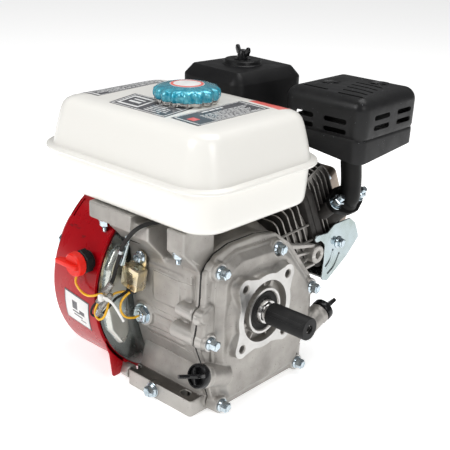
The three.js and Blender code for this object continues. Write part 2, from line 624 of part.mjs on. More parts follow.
// Foot of the front edge, bolted beside the crankcase.
const HOUSING_TAB = [[-99, 59], [-91, 36], [-87, 8], [-78, 8], [-73, 27]];
const intakeRing = new THREE.Path().absarc(0, CRANK_Z, 62, 0, 2 * Math.PI);
const rearWall = housingOutline(0);
rearWall.holes.push(intakeRing);
add(engine, 'blower_housing', join(
  cut(
    prism('x', housingOutline(0), HOUSING_REAR_X + 1, HOUSING_FRONT_X, 8),
    prism('x', housingOutline(2), HOUSING_REAR_X, HOUSING_FRONT_X + 1, 8),
  ),
  prism('x', rearWall, HOUSING_REAR_X, HOUSING_REAR_X + 2.5, 8),
  prism('x', HOUSING_TAB, HOUSING_FRONT_X - 2, HOUSING_FRONT_X),
), 'red');

const shroudOutline = housingOutline(2.6);
shroudOutline.holes.push(new THREE.Path().absarc(0, CRANK_Z, 38, 0, 2 * Math.PI));
const shroudBulge = softPolygon([
  [-71.5, 156], [-71.5, 92], [-68, 60], [-76, 42], [-96, 70], [-102, 106], [-96, 140], [-84, 158],
], 10);
add(engine, 'inner_shroud', join(
  prism('x', shroudOutline, -49.8, -48.4, 6),
  prism('x', shroudBulge, -49, -42, 2),
), 'zinc');

const LOWER_SHROUD = [
  [112, 141], [112, 150], [134, 148], [146, 155], [177, 155], [189, 146], [198, 127],
  [176, 108], [140, 87], [129, 91], [131, 112], [131, 134], [123, 141],
];
add(engine, 'lower_shroud', join(
  prism('x', softPolygon(LOWER_SHROUD, 5), 58.5, 60.3, 3),
  prism('x', [[197, 125.6], [197, 127], [176.5, 109.6], [141, 88.8], [141, 87.6], [177, 108]],
    -36, 59.5),
), 'zinc');

add(engine, 'ignition_coil', join(
  block(-86, -62, 93, 112, 92, 136),
  block(-78, -70, 92, 100, 84, 144),
), 'black');

// ---------------------------------------------------------------- recoil starter
const STARTER_Z = CRANK_Z + 56; // rope leaves at the top of the reel
const dish = turned([
  [88, HOUSING_REAR_X - GAP], [88, -136], [74, -162], [56, REAR_END_X], [0, REAR_END_X],
  [0, REAR_END_X + 2.5], [55, REAR_END_X + 2.5], [71.5, -160.5], [85.5, -135.4],
  [85.5, HOUSING_REAR_X - GAP], [88, HOUSING_REAR_X - GAP],
], 0, CRANK_Z, 22);
const starterPost = tube('x', 11, 0, REAR_END_X + 1, -130, 0, CRANK_Z, 6);
const ropeHole = rod([REEL_X, 60, STARTER_Z], [REEL_X, 90, STARTER_Z], 5, 12);
const ropeGuide = rod([REEL_X, 56, STARTER_Z], [REEL_X, 73, STARTER_Z], 8, 14);
const vents = [];
for (let i = 0; i < 6; i += 1) {
  const angle = ((i + 0.5) * Math.PI) / 3;
  const slot = block(-175, -150, -5, 5, 34, 52).rotateX(angle);
  vents.push(slot.translate(0, 0, CRANK_Z));
}
add(engine, 'starter_housing', cut(join(dish, starterPost, ropeGuide), ropeHole, ...vents), 'red');
add(crank, 'starter_reel', turned([
  [11.5, -132], [60, -132], [60, -135], [52, -136], [52, -144], [60, -145], [60, -148],
  [11.5, -148], [11.5, -132],
], 0, 0, 20), 'black');
add(engine, 'starter_grip', join(
  rod([REEL_X, 74.5, STARTER_Z], [REEL_X, 84, STARTER_Z], 6, 14, 7.5),
  pillow(REEL_X - 8, REEL_X + 8, 82, 96, 7, STARTER_Z - 30, STARTER_Z + 30, 4, 1, 2),
), 'black');

// ---------------------------------------------------------------- fuel tank and cap
function tankSolid(inset, steps, cornerSteps) {
  const { x0, x1, y0, y1, r } = TANK_RIM;
  const centre = [(x0 + x1) / 2, (y0 + y1) / 2];
  const side = TANK_LIP + inset;
  const box = [x0 + side, x1 - side, y0 + side, y1 - side, r - inset];
  const upper = pillow(...box, 220, TANK_TOP_Z - inset, 24, steps, cornerSteps);
  const lower = pillow(...box, TANK_BOTTOM_Z + inset, 275, 12, 1, cornerSteps);
  const above = block(-300, 300, -300, 300, TANK_RIM_Z - 0.1, 400);
  const below = block(-300, 300, -300, 300, 100, TANK_RIM_Z);
  return join(
    overlap(taper(upper, centre, TANK_RIM_Z, TANK_TOP_Z, 0.955), above),
    overlap(taper(lower, centre, TANK_RIM_Z, TANK_BOTTOM_Z, 0.93), below),
  );
}
function fuelTank() {
  const { x0, x1, y0, y1, r } = TANK_RIM;
  const rim = prism('z', softBox(x0, x1, y0, y1, r), TANK_RIM_Z - 2, TANK_RIM_Z + 2, 5);
  const neck = turnedUp([[0, 296], [24, 296], [22, 307], [0, 307]], ...CAP_CENTRE, 24);
  const neckHole = rod([...CAP_CENTRE, 285], [...CAP_CENTRE, 310], 18, 24);
  return cut(join(tankSolid(0, 3, 5), rim, neck), tankSolid(TANK_WALL, 2, 3), neckHole);
}
add(engine, 'fuel_tank', fuelTank(), 'white');

const capOutline = new THREE.Shape();
const CAP_SCALLOPS = 16;
for (let i = 0; i < CAP_SCALLOPS * 2; i += 1) {
  const angle = (i * Math.PI) / CAP_SCALLOPS;
  const radius = i % 2 ? 32 : 35;
  const [x, y] = [radius * Math.cos(angle), radius * Math.sin(angle)];
  if (i === 0) capOutline.moveTo(x, y);
  else capOutline.lineTo(x, y);
}
const capGroup = new THREE.Group();
capGroup.position.set(...CAP_CENTRE, 0);
engine.add(capGroup);
add(capGroup, 'fuel_cap', join(
  prism('z', capOutline, 308.5, 318),
  turnedUp([[0, 317], [30, 317], [24, 321], [0, 322]], 0, 0, 24),
  rod([0, 0, 298], [0, 0, 309], 17, 24),
), 'blue');

// ---------------------------------------------------------------- air cleaner
const airCleaner = new THREE.Group();
airCleaner.position.set(-94, 155, 0);
airCleaner.rotation.z = radians(-5);
engine.add(airCleaner);
const COVER_TOP_Z = 312;
function airCleanerCover() {
  const outer = pillow(-50, 50, -55, 55, 16, 220, COVER_TOP_Z, 9, 1, 2);
  const inner = pillow(-47.5, 47.5, -52.5, 52.5, 14, 215, COVER_TOP_Z - 2.5, 8, 1, 2);
  const dome = turnedUp([[0, 311], [22, 311], [22, 314], [17, 317], [0, 317.5]], 0, 0, 24);
  return cut(join(cut(outer, block(-80, 80, -80, 80, 200, 238), inner), dome),
    rod([0, 0, 300], [0, 0, 330], 4, 12));
}
add(airCleaner, 'air_cleaner_cover', airCleanerCover(), 'black');
airCleaner.updateMatrix();
const inAirCleaner = (x, y, z) =>
  new THREE.Vector3(x, y, z).applyMatrix4(airCleaner.matrix.clone().invert()).toArray();
const elbowCorner = inAirCleaner(-112, CARB_Y, CARB_Z);
const elbow = [
  rod(inAirCleaner(-97.9, CARB_Y, CARB_Z), elbowCorner, 14, 16),
  new THREE.SphereGeometry(14, 16, 8).translate(...elbowCorner),
  rod(elbowCorner, inAirCleaner(-112, CARB_Y + 6, 229), 14, 16),
];
add(airCleaner, 'air_cleaner_base', join(
  prism('z', softBox(-50, 50, -55, 55, 14), 228, 237.6, 3),
  rod([0, 0, 230], [0, 0, 324], 3, 10),
  ...elbow,
), 'black');
add(airCleaner, 'air_filter', tube('z', 38, 22, 238.5, 292, 0, 0, 10), 'foam');
const wingNut = new THREE.Group();
wingNut.position.copy(airCleaner.position);
wingNut.rotation.z = radians(-18);
engine.add(wingNut);
add(wingNut, 'air_cleaner_nut', cut(
  join(
    rod([0, 0, 318], [0, 0, 327], 7, 14),
    prism('y', [[321, 4], [323, 12], [333, 15], [333, 10], [327, 5]], -1.5, 1.5),
    prism('y', [[321, -4], [327, -5], [333, -10], [333, -15], [323, -12]], -1.5, 1.5),
  ),
  rod([0, 0, 316], [0, 0, 336], 3.4, 10),
), 'black');

// ---------------------------------------------------------------- carburettor and controls
add(engine, 'insulator_block', block(-57.5, -47.4, 125, 161, 150, 184), 'rubber');
add(engine, 'carburettor', join(
  rod([-97.5, CARB_Y, CARB_Z], [-58, CARB_Y, CARB_Z], 15, 20),
  block(-63, -58, 126, 160, 152, 182),
  block(-92, -66, 132, 154, 140, 184),
  rod([-78, CARB_Y, 118], [-78, CARB_Y, 142], 18, 20),
  rod([-78, CARB_Y, 112], [-78, CARB_Y, 119], 5, 6),
  rod([-84, 150, 158], [-84, 163.5, 158], 8, 12),
), 'machined');
add(engine, 'choke_lever', join(
  rod([-74, CARB_Y, 184.4], [-74, CARB_Y, 188], 6, 12),
  block(-76.5, -71.5, CARB_Y, CARB_Y + 34, 185, 187),
  rod([-74, CARB_Y + 34, 185], [-74, CARB_Y + 34, 194], 5, 12),
), 'black');
add(engine, 'fuel_valve_lever', join(
  rod([-84, 163.8, 158], [-84, 168.5, 158], 8, 12),
  block(-110, -84, 164.5, 168, 155.5, 160.5),
  rod([-110, 164.5, 158], [-110, 174, 158], 4.5, 12),
), 'black');
add(engine, 'control_plate', join(
  block(-75, -20, 78, 95, 204.6, 206.2),
  block(-75, -50, 94, 114, 204.6, 206.2),
  block(-44, -28, 80, 82, 198, 205),
  block(-44, -28, 72, 82, 196.6, 198.2),
), 'zinc');
add(engine, 'throttle_lever', join(
  rod([-62, 104, 206.6], [-62, 104, 210], 7, 14),
  block(-65, -59, 104, 150, 207, 208.8),
  rod([-62, 150, 207], [-62, 150, 216], 6, 12),
), 'black');

// ---------------------------------------------------------------- muffler and exhaust
const GUARD = { x0: -8, x1: 100, y0: 125, y1: 235, z0: 234, z1: 308 };
const GUARD_FRONT_SLOTS = [[12, 36], [49.5, 79.5]];
const GUARD_FRONT_SLOT_Z = [266, 277];
const GUARD_SIDE_SLOTS = [[147.5, 177], [191, 218.5]];
const GUARD_SIDE_SLOT_Z = [270.6, 281.6];
const GUARD_SLOT_WIDTH = 6;
// Slots in the top: start x, end x, middle y.
const GUARD_TOP_SLOTS = [[9, 42, 141], [57, 89, 138], [54, 86, 151], [50, 84, 164], [47, 81, 177], [44, 79, 190]];
const GUARD_TOP_SLOT_WIDTH = 4;
function mufflerGuard() {
  const { x0, x1, y0, y1, z0, z1 } = GUARD;
  const outer = pillow(x0, x1, y0, y1, 16, z0 - 20, z1, 11, 2, 3);
  const inner = pillow(x0 + 1.8, x1 - 1.8, y0 + 1.8, y1 - 1.8, 14.5, z0 - 25, z1 - 1.8, 10, 1, 2);
  // The lower edge slopes: it hangs lowest at the corner nearest the tank and the output side.
  const edge = new THREE.BoxGeometry(500, 500, 100).translate(0, 0, -50)
    .rotateY(Math.atan(0.12)).rotateX(Math.atan(0.09)).translate(x1, y0, z0);
  const tools = [inner, edge];
  for (const z of GUARD_FRONT_SLOT_Z) {
    for (const [a, b] of GUARD_FRONT_SLOTS) {
      tools.push(prism('y', softBox(z, z + GUARD_SLOT_WIDTH, a, b, 2.9), y0 - 5, y0 + 5, 1));
    }
  }
  for (const z of GUARD_SIDE_SLOT_Z) {
    for (const [a, b] of GUARD_SIDE_SLOTS) {
      tools.push(prism('x', softBox(a, b, z, z + GUARD_SLOT_WIDTH, 2.9), x1 - 5, x1 + 5, 1));
    }
  }
  for (const [a, b, y] of GUARD_TOP_SLOTS) {
    const half = GUARD_TOP_SLOT_WIDTH / 2;
    tools.push(block(a, b, y - half, y + half, z1 - 10, z1 + 4));
  }
  return cut(outer, ...tools);
}
add(engine, 'muffler_guard', mufflerGuard(), 'blackPaint');
add(engine, 'muffler', pillow(2, 92, 133, 227, 14, 248, 298, 6, 1, 2), 'darkSteel');

const pipePath = new THREE.CatmullRomCurve3([
  new THREE.Vector3(...portPoint(6)), new THREE.Vector3(...portPoint(14)),
  new THREE.Vector3(77, 147, 212), new THREE.Vector3(78, 142, 236),
  new THREE.Vector3(78, 142, 242), new THREE.Vector3(78, 142, 247.6),
]);
const pipe = new THREE.ExtrudeGeometry(ringShape(11.5), {
  steps: 9, extrudePath: pipePath, curveSegments: 5,
});
const flangeBar = rod([0, 0, 0], [0, 0, 6], 17, 16);
const flangeEars = [-21, 21].map((y) => rod([0, y, 0], [0, y, 6], 9, 10));
const flangeBolts = [-21, 21].map((y) => rod([0, y, 5], [0, y, 12], 6.5, 6));
const flangePlate = [flangeBar, ...flangeEars, block(-9, 9, -21, 21, 0, 6), ...flangeBolts];
const flangeTurn = new THREE.Matrix4().makeRotationY(Math.PI / 4).setPosition(
  PORT.x, PORT.y, PORT.z);
add(engine, 'exhaust_pipe',
  join(pipe, ...flangePlate.map((piece) => piece.applyMatrix4(flangeTurn))), 'blackPaint');

// ---------------------------------------------------------------- electrical parts
const alertUnit = new THREE.Group();
alertUnit.position.set(-22, 0, 153.5);
alertUnit.rotation.y = radians(10);
engine.add(alertUnit);
add(alertUnit, 'oil_alert_unit', join(
  prism('y', softBox(-34, -8, -12, 12, 3), -86, -72, 2),
  prism('y', softBox(-12, 7, -7, 7, 6), -73.5, -71.5, 3),
  rod([0, -79, 0], [0, -70.3, 0], 6, 6),
), 'gold');

const SWITCH = { x: -67, z: 146 };
add(engine, 'switch_body',
  rod([SWITCH.x, -108, SWITCH.z], [SWITCH.x, -116, SWITCH.z], 14, 6), 'black');
add(engine, 'switch_knob', join(
  rod([SWITCH.x, -116.4, SWITCH.z], [SWITCH.x, -126, SWITCH.z], 13, 20),
  block(SWITCH.x - 23, SWITCH.x + 9, -130, -119, SWITCH.z - 2.5, SWITCH.z + 2.5),
), 'knobRed');

// Round lead along a smooth route, with a step about every three diameters.
function lead(points, radius) {
  const route = new THREE.CatmullRomCurve3(points.map((point) => new THREE.Vector3(...point)));
  const steps = Math.ceil(route.getLength() / (6 * radius));
  return new THREE.ExtrudeGeometry(ringShape(radius), {
    steps, extrudePath: route, curveSegments: 4,
  });
}
const CABLE_RADIUS = 2.2; // stop lead from the ignition coil
const WIRE_RADIUS = 1.1;
const STOP_LEAD = [
  [-47.6, 0, 190], [-42, 0, 190], [-12, -18, 194], [16, -44, 200], [17, -66, 202.6],
  [8, -88, 202.6], [1, -98.5, 198], [-13.1, -98, 184.1], [-24.4, -96, 169.5],
  [-28.7, -95, 160.3], [-35.1, -95, 144.1], [-37.7, -97, 131.6], [-39, -103, 120.5],
];
const KNOB_WIRE = [
  [-74, -112, 132], [-75.5, -114, 127], [-74, -116, 121], [-66.3, -117, 116], [-56, -118, 114.5],
  [-47, -117, 116], [-41, -110, 118], [-38, -105, 118],
];
const LOOP_WIRE = [
  [-27, -80, 117], [-31, -83, 115.5], [-34.4, -88, 115.6], [-37.6, -96, 114.6],
  [-37.4, -103, 110.1], [-34.9, -108, 101.4], [-37.8, -111, 92.2], [-44.6, -112, 89],
  [-49.2, -112, 95.3], [-44, -112, 108],
];
const LEVEL_WIRE = [
  [-24.8, -68.4, 87], [-24.8, -73, 87], [-25.2, -80, 86.3], [-28.6, -88, 88.6],
  [-31.7, -92, 95.8], [-31.6, -92, 105.2], [-29, -88, 112.5], [-27, -80, 117],
];
add(engine, 'wiring_loom', join(
  lead(STOP_LEAD, CABLE_RADIUS),
  lead(KNOB_WIRE, WIRE_RADIUS),
  lead(LOOP_WIRE, WIRE_RADIUS),
  lead(LEVEL_WIRE, WIRE_RADIUS),
  rod([-35.8, -100, 128.7], [-44, -112, 108.5], 3.6, 10),
  rod([-32.6, -98, 124.9], [-42.3, -111, 102], 3.6, 10),
  rod([-26.4, -79, 119.3], [-27.4, -79.4, 114.6], 4, 8),
), 'black');

// ---------------------------------------------------------------- oil filler caps
for (const [name, side, turn] of [['oil_cap_front', -1, 22], ['oil_cap_rear', 1, -43]]) {
  const { at, out } = fillerNeck(side);
  const group = new THREE.Group();
  group.position.set(...at(0));
  group.rotation.x = Math.atan2(-out[0], out[1]);
  engine.add(group);
  add(group, name, join(
    rod([0, 0, 0.4], [0, 0, 8], 12.5, 20),
    rod([0, 0, -14], [0, 0, 1], 7.6, 16),
    rod([0, 0, -34], [0, 0, -13], 2.5, 8),
    prism('y', [[6, -12], [20, -14], [20, 14], [6, 12]], -2, 2).rotateZ(radians(turn)),
  ), 'black');
}

export default engine;
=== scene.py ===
"""Looks for the small gasoline engine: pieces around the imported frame, materials, light and camera."""

import math

import bmesh
import bpy
import numpy as np
from mathutils import Matrix, Vector


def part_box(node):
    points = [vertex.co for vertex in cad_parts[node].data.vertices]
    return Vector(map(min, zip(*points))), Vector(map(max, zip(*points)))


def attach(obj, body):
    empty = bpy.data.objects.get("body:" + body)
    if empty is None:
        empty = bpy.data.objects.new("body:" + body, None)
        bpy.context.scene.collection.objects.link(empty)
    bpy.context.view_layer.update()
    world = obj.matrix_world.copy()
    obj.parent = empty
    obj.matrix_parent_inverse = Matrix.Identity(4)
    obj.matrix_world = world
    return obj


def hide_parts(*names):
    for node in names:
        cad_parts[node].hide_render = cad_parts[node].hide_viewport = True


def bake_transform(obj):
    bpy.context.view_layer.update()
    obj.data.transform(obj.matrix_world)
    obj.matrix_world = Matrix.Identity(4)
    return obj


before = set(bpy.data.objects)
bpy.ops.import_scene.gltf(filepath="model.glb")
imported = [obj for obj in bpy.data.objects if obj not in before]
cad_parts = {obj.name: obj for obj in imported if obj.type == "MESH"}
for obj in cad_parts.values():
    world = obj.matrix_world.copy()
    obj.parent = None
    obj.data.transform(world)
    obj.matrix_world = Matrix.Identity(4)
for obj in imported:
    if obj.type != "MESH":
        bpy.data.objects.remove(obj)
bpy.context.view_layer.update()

MM = 0.001  # shapes below are in millimetres in the part's own frame
X, REAR, FORWARD = (1, 0, 0), (-1, 0, 0), (0, -1, 0)  # along the shaft, to the starter, to the switch side
UP, DOWN = (0, 0, 1), (0, 0, -1)

# ------------------------------------------------------------------ driving dimensions
CRANK_Z = 106
CYLINDER_X = 5
CYLINDER_TILT = math.radians(25)
CASE_REAR_X = -48
CASE_FRONT_X = 57.7
COVER_X = 59.3
OUTPUT_FACE_X = 85
DECK = 128.2
BASE_HEIGHT = 18
BASE_SLOT_X, BASE_SLOT_Y = (-38, 38), (-66, 96)
DOWELS = [(-73, 118), (96, 60)]
HOUSING_RADIUS = 110.5
TANK_RIM_Z = 252
KEY_ANGLE = math.radians(62)
FILLER_X = 71
FILLER_TILT = math.radians(20)
HOLE_CIRCLE = 46.05  # radius of the output face's four holes
ARM_TOP = 206.5  # the cast arms that carry the tank
BRACKET_YZ = (118, 126)
LEVEL_SWITCH_XZ = (-25, 87)
STOP_SWITCH_XZ = (-67, 146)
PLUG_XY = (-30, -40)  # in the cylinder's frame
ROPE_X, ROPE_Z = -140, 162
THROAT_Y, THROAT_Z = 143, 166
CHOKE_X, THROTTLE_X, THROTTLE_Y = -74, -62, 104
FUEL_VALVE_X, FUEL_VALVE_Z = -84, 158
COVER_BOLTS = [(-56, 162), (30, 163), (-68, 89.5), (-49, 11.5), (74, 12.5), (93, 99)]


# ------------------------------------------------------------------ shapes in millimetres
class Shape:
    """Corners in millimetres and the faces between them."""

    def __init__(self, corners, faces):
        self.corners = np.asarray(corners, float).reshape(-1, 3)
        self.faces = [tuple(int(i) for i in face) for face in faces]

    def __add__(self, other):
        count = len(self.corners)
        shifted = [tuple(i + count for i in face) for face in other.faces]
        return Shape(np.vstack([self.corners, other.corners]), self.faces + shifted)

    def moved(self, matrix):
        m = np.array(matrix, float)
        return Shape(self.corners @ m[:3, :3].T + m[:3, 3], self.faces)

    def at(self, x, y, z):
        return Shape(self.corners + (x, y, z), self.faces)


def together(shapes):
    total = Shape([], [])
    for shape in shapes:
        total = total + shape
    return total


def loft(rings, closed_ring=True, caps=True):
    """Skin through rings of equal count, with flat ends."""
    rings = [np.asarray(r, float) for r in rings]
    count = len(rings[0])
    faces = []
    for level in range(len(rings) - 1):
        for i in range(count if closed_ring else count - 1):
            j = (i + 1) % count
            base = level * count
            faces.append((base + i, base + j, base + count + j, base + count + i))
    if caps:
        faces.append(tuple(reversed(range(count))))
        faces.append(tuple((len(rings) - 1) * count + i for i in range(count)))
    return Shape(np.vstack(rings), faces)


def revolve(profile, segments=48):
    """Closed solid of (radius, height) points about Z; the ends lie on the axis or get a cap."""
    ring = circle(1, segments)
    rings = [np.column_stack([ring * max(r, 1e-3), np.full(segments, z)]) for r, z in profile]
    return loft(rings)


def ring_solid(profile, segments=48):
    """Solid of revolution whose profile closes on itself, such as a washer."""
    ring = circle(1, segments)
    rings = [np.column_stack([ring * r, np.full(segments, z)]) for r, z in profile]
    return loft(rings + rings[:1], caps=False)


def rounded(points, radius, steps=4):
    """Outline whose corners are circular arcs; radius is one number or one for each corner."""
    points = [Vector(p) for p in points]
    radii = radius if hasattr(radius, "__len__") else [radius] * len(points)
    out = []
    for i, corner in enumerate(points):
        before, after = points[i - 1], points[(i + 1) % len(points)]
        a, b = (before - corner).normalized(), (after - corner).normalized()
        half = a.angle(b) / 2
        room = min((before - corner).length, (after - corner).length) / 2.05
        reach = min(radii[i] / max(math.tan(half), 1e-3), room)
        if half > 1.55 or reach < 0.05:
            out.append(corner)
            continue
        r = reach * math.tan(half)
        centre = corner + (a + b).normalized() * math.hypot(reach, r)
        start, end = corner + a * reach - centre, corner + b * reach - centre
        turn = start.angle_signed(end)
        for k in range(steps + 1):
            angle = -turn * k / steps
            c, s = math.cos(angle), math.sin(angle)
            out.append(centre + Vector((start.x * c - start.y * s, start.x * s + start.y * c)))
    return np.array([tuple(p) for p in out])


def box_outline(a0, a1, b0, b1, r, steps=6):
    return rounded([(a0, b0), (a1, b0), (a1, b1), (a0, b1)], r, steps)


def circle(radius, segments=32):
    angles = np.arange(segments) * 2 * math.pi / segments
    return np.column_stack([radius * np.cos(angles), radius * np.sin(angles)])


def inset(outline, distance):
    """Outline moved inwards (or outwards, if negative) along its corner normals."""
    back = outline - np.roll(outline, 1, 0)
    ahead = np.roll(outline, -1, 0) - outline
    normals = []
    for edge in (back, ahead):
        length = np.maximum(np.linalg.norm(edge, axis=1, keepdims=True), 1e-9)
        normals.append(np.column_stack([-edge[:, 1], edge[:, 0]]) / length)
    total = normals[0] + normals[1]
    size = np.maximum((total ** 2).sum(1, keepdims=True) / 2, 0.35)
    area = np.sum(outline[:, 0] * np.roll(outline[:, 1], -1) - outline[:, 1] * np.roll(outline[:, 0], -1))
    return outline + total / size * distance * (1 if area > 0 else -1)


def lift(outline, axis, height):
    """2-D outline as a 3-D ring: (y, z) on X, (z, x) on Y and (x, y) on Z."""
    column = np.full(len(outline), float(height))
    order = {"x": (column, outline[:, 0], outline[:, 1]),
             "y": (outline[:, 1], column, outline[:, 0]),
             "z": (outline[:, 0], outline[:, 1], column)}[axis]
    return np.column_stack(order)


def slab(axis, outline, low, high, edge=0.6):
    """Plate of constant outline with rounded edges."""
    outline = np.asarray(outline, float)
    k = edge * (1 - math.sqrt(0.5))
    steps = [(edge, low), (k, low + k), (0, low + edge), (0, high - edge), (k, high - k), (edge, high)]
    if edge <= 0:
        steps = [(0, low), (0, high)]
    return loft([lift(inset(outline, d), axis, h) for d, h in steps])


def stack(axis, outline, levels):
    """Skin through the outline inset by each (inset, height) level."""
    return loft([lift(inset(outline, d), axis, h) for d, h in levels])


def box_stack(axis, box, levels, steps=8):
    """Skin through rounded boxes (a0, a1, b0, b1, radius), each drawn in by its own amount."""
    a0, a1, b0, b1, radius = box
    rings = []
    for d, height in levels:
        ring = box_outline(a0 + d, a1 - d, b0 + d, b1 - d, max(radius - d, 1.2), steps)
        rings.append(lift(ring, axis, height))
    return loft(rings)


def aim(start, direction, spin=0.0):
    """Matrix that takes +Z to a direction at a point."""
    turn = Vector(direction).normalized().to_track_quat("Z", "Y").to_matrix().to_4x4()
    return Matrix.Translation(start) @ turn @ Matrix.Rotation(spin, 4, "Z")


def rod(start, end, radius, end_radius=None, edge=0.5, segments=28):
    start, end = Vector(start), Vector(end)
    length = (end - start).length
    last = radius if end_radius is None else end_radius
    edge = min(edge, radius * 0.6, last * 0.6, length * 0.4)
    profile = [(0, 0), (radius - edge, 0), (radius, edge), (last, length - edge), (last - edge, length),
               (0, length)]
    return revolve(profile, segments).moved(aim(start, end - start))


def smooth_path(points, per_span=8):
    """Catmull-Rom curve through the points."""
    p = np.array([points[0]] + list(points) + [points[-1]], float)
    out = []
    for i in range(1, len(p) - 2):
        for k in range(per_span):
            t = k / per_span
            out.append(0.5 * (2 * p[i] + (p[i + 1] - p[i - 1]) * t
                              + (2 * p[i - 1] - 5 * p[i] + 4 * p[i + 1] - p[i + 2]) * t * t
                              + (3 * p[i] - p[i - 1] - 3 * p[i + 1] + p[i + 2]) * t ** 3))
    out.append(p[-2])
    return np.array(out)


def sweep(path, section):
    """Section outline carried along a path without twisting."""
    path = np.asarray(path, float)
    tangents = np.gradient(path, axis=0)
    tangents /= np.linalg.norm(tangents, axis=1, keepdims=True)
    side = np.cross(tangents[0], (0.3, 0.2, 1))
    rings = []
    for point, tangent in zip(path, tangents):
        side = side - tangent * (side @ tangent)
        side /= np.linalg.norm(side)
        up = np.cross(tangent, side)
        rings.append(point + section[:, :1] * side + section[:, 1:] * up)
    return loft(rings)


def wire(points, radius, sides=12, per_span=8):
    return sweep(smooth_path(points, per_span), circle(radius, segments=sides))


def hexagon(flats):
    corners = [(flats / math.sqrt(3) * math.cos(math.radians(60 * k)),
                flats / math.sqrt(3) * math.sin(math.radians(60 * k))) for k in range(6)]
    return rounded(corners, 0.35, 2)


def hex_prism(flats, low, high, chamfer=0.9):
    """Nut or bolt head along Z with chamfered corners."""
    outline = hexagon(flats)
    return stack("z", outline, [(0.3, low), (0, low + 0.3), (0, high - chamfer), (chamfer * 1.4, high)])


def flange_bolt(start, direction, flats=11, height=9, spin=0.3):
    """Hexagon head on its own flange, dished in the middle."""
    r = flats * 0.7
    flange = revolve([(0, 0), (r - 0.3, 0), (r, 0.4), (r, 1.1), (flats * 0.52, 2.6), (0, 2.6)], 36)
    head = hex_prism(flats, 1.4, height)
    dish = revolve([(0, height - 0.6), (flats * 0.28, height - 0.4), (flats * 0.34, height + 0.25),
                    (0, height + 0.05)], 24)
    return (flange + head + dish).moved(aim(start, direction, spin))


def stud_and_nut(start, direction, flats=10, nut=6, length=14, radius=3, spin=0.2):
    washer = revolve([(0, 0), (flats * 0.68, 0), (flats * 0.7, 0.5), (flats * 0.68, 1.2), (0, 1.2)], 36)
    thread = [(0, nut)]
    count = int((length - nut) / 0.9)
    for k in range(count):
        thread += [(radius, nut + 0.2 + k * 0.9), (radius - 0.35, nut + 0.65 + k * 0.9)]
    thread += [(radius - 0.5, length), (0, length)]
    return (washer + hex_prism(flats, 1.2, nut + 1.2) + revolve(thread, 20)).moved(aim(start, direction,
            spin))


# ------------------------------------------------------------------ objects
def make_mesh(name, shape):
    """Mesh of one shape or a list of shapes, with its normals facing out."""
    if not isinstance(shape, Shape):
        shape = together(shape)
    mesh = bpy.data.meshes.new(name)
    mesh.from_pydata((shape.corners * MM).tolist(), [], shape.faces)
    bm = bmesh.new()
    bm.from_mesh(mesh)
    bmesh.ops.remove_doubles(bm, verts=bm.verts, dist=2e-6)
    bmesh.ops.dissolve_degenerate(bm, edges=bm.edges, dist=1e-6)
    bmesh.ops.recalc_face_normals(bm, faces=bm.faces)
    bm.to_mesh(mesh)
    bm.free()
    return mesh


def make_object(name, mesh):
    obj = bpy.data.objects.new(name, mesh)
    bpy.context.scene.collection.objects.link(obj)
    return obj


def solid(name, shape):
    return make_object(name, make_mesh(name, shape))


def bake_modifiers(obj):
    graph = bpy.context.evaluated_depsgraph_get()
    graph.update()
    mesh = bpy.data.meshes.new_from_object(obj.evaluated_get(graph))
    old = obj.data
    obj.modifiers.clear()
    obj.data = mesh
    bpy.data.meshes.remove(old)
    return obj


def fused(name, shape, voxel=1.0, rounds=4):
    """Overlapping solids made one skin whose corners are rounded as a casting's are."""
    obj = make_object(name, make_mesh(name, shape))
    remesh = obj.modifiers.new("remesh", "REMESH")
    remesh.mode = "VOXEL"
    remesh.voxel_size = voxel * MM
    smooth = obj.modifiers.new("smooth", "SMOOTH")
    smooth.factor = 0.5
    smooth.iterations = rounds
    return bake_modifiers(obj)


def carve(obj, *cutters):
    """Machined cuts: the object less each cutter."""
    made = []
    for i, shape in enumerate(cutters):
        cutter = make_object(f"cutter_{i}", make_mesh("cutter", shape))
        cut = obj.modifiers.new("cut", "BOOLEAN")
        cut.operation = "DIFFERENCE"
        cut.solver = "MANIFOLD"
        cut.object = cutter
        made.append(cutter)
    bake_modifiers(obj)
    for cutter in made:
        mesh = cutter.data
        bpy.data.objects.remove(cutter)
        bpy.data.meshes.remove(mesh)
    return obj


def dress(obj, *materials, body="frame", slot=None, replaces=(), angle=32):
    """Materials, smooth shading with crisp edges, and the body that the piece rides on."""
    obj.data.materials.clear()
    for m in materials:
        obj.data.materials.append(m)
    obj.data.polygons.foreach_set("use_smooth", [True] * len(obj.data.polygons))
    obj.data.set_sharp_from_angle(angle=math.radians(angle))
    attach(obj, body)
    if replaces:
        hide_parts(*replaces)
    return obj


def piece(name, shape, *materials, **wanted):
    return dress(solid(name, shape), *materials, **wanted)


def paint_faces(obj, index, test):
    """Gives a material index to the faces whose centre and normal (mm) pass the test."""
    for face in obj.data.polygons:
        if test(face.center / MM, face.normal):
            face.material_index = index


def box_mm(node):
    low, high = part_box(node)
    return low / MM, high / MM


def frame_centre(node):
    low, high = box_mm(node)
    return (low + high) / 2


# Takes shapes made about Z to the crankshaft line, which is parallel to X.
TO_SHAFT = Matrix.Translation((0, 0, CRANK_Z)) @ Matrix.Rotation(math.pi / 2, 4, "Y")


def about_crank(angle):
    return Matrix.Translation((0, 0, CRANK_Z)) @ Matrix.Rotation(angle, 4, "X")


# The cylinder's own frame: z runs up the bore, and +y is the underside of the barrel.
CYLINDER = Matrix.Translation((CYLINDER_X, 0, CRANK_Z)) @ Matrix.Rotation(CYLINDER_TILT - math.pi / 2, 4, "X")


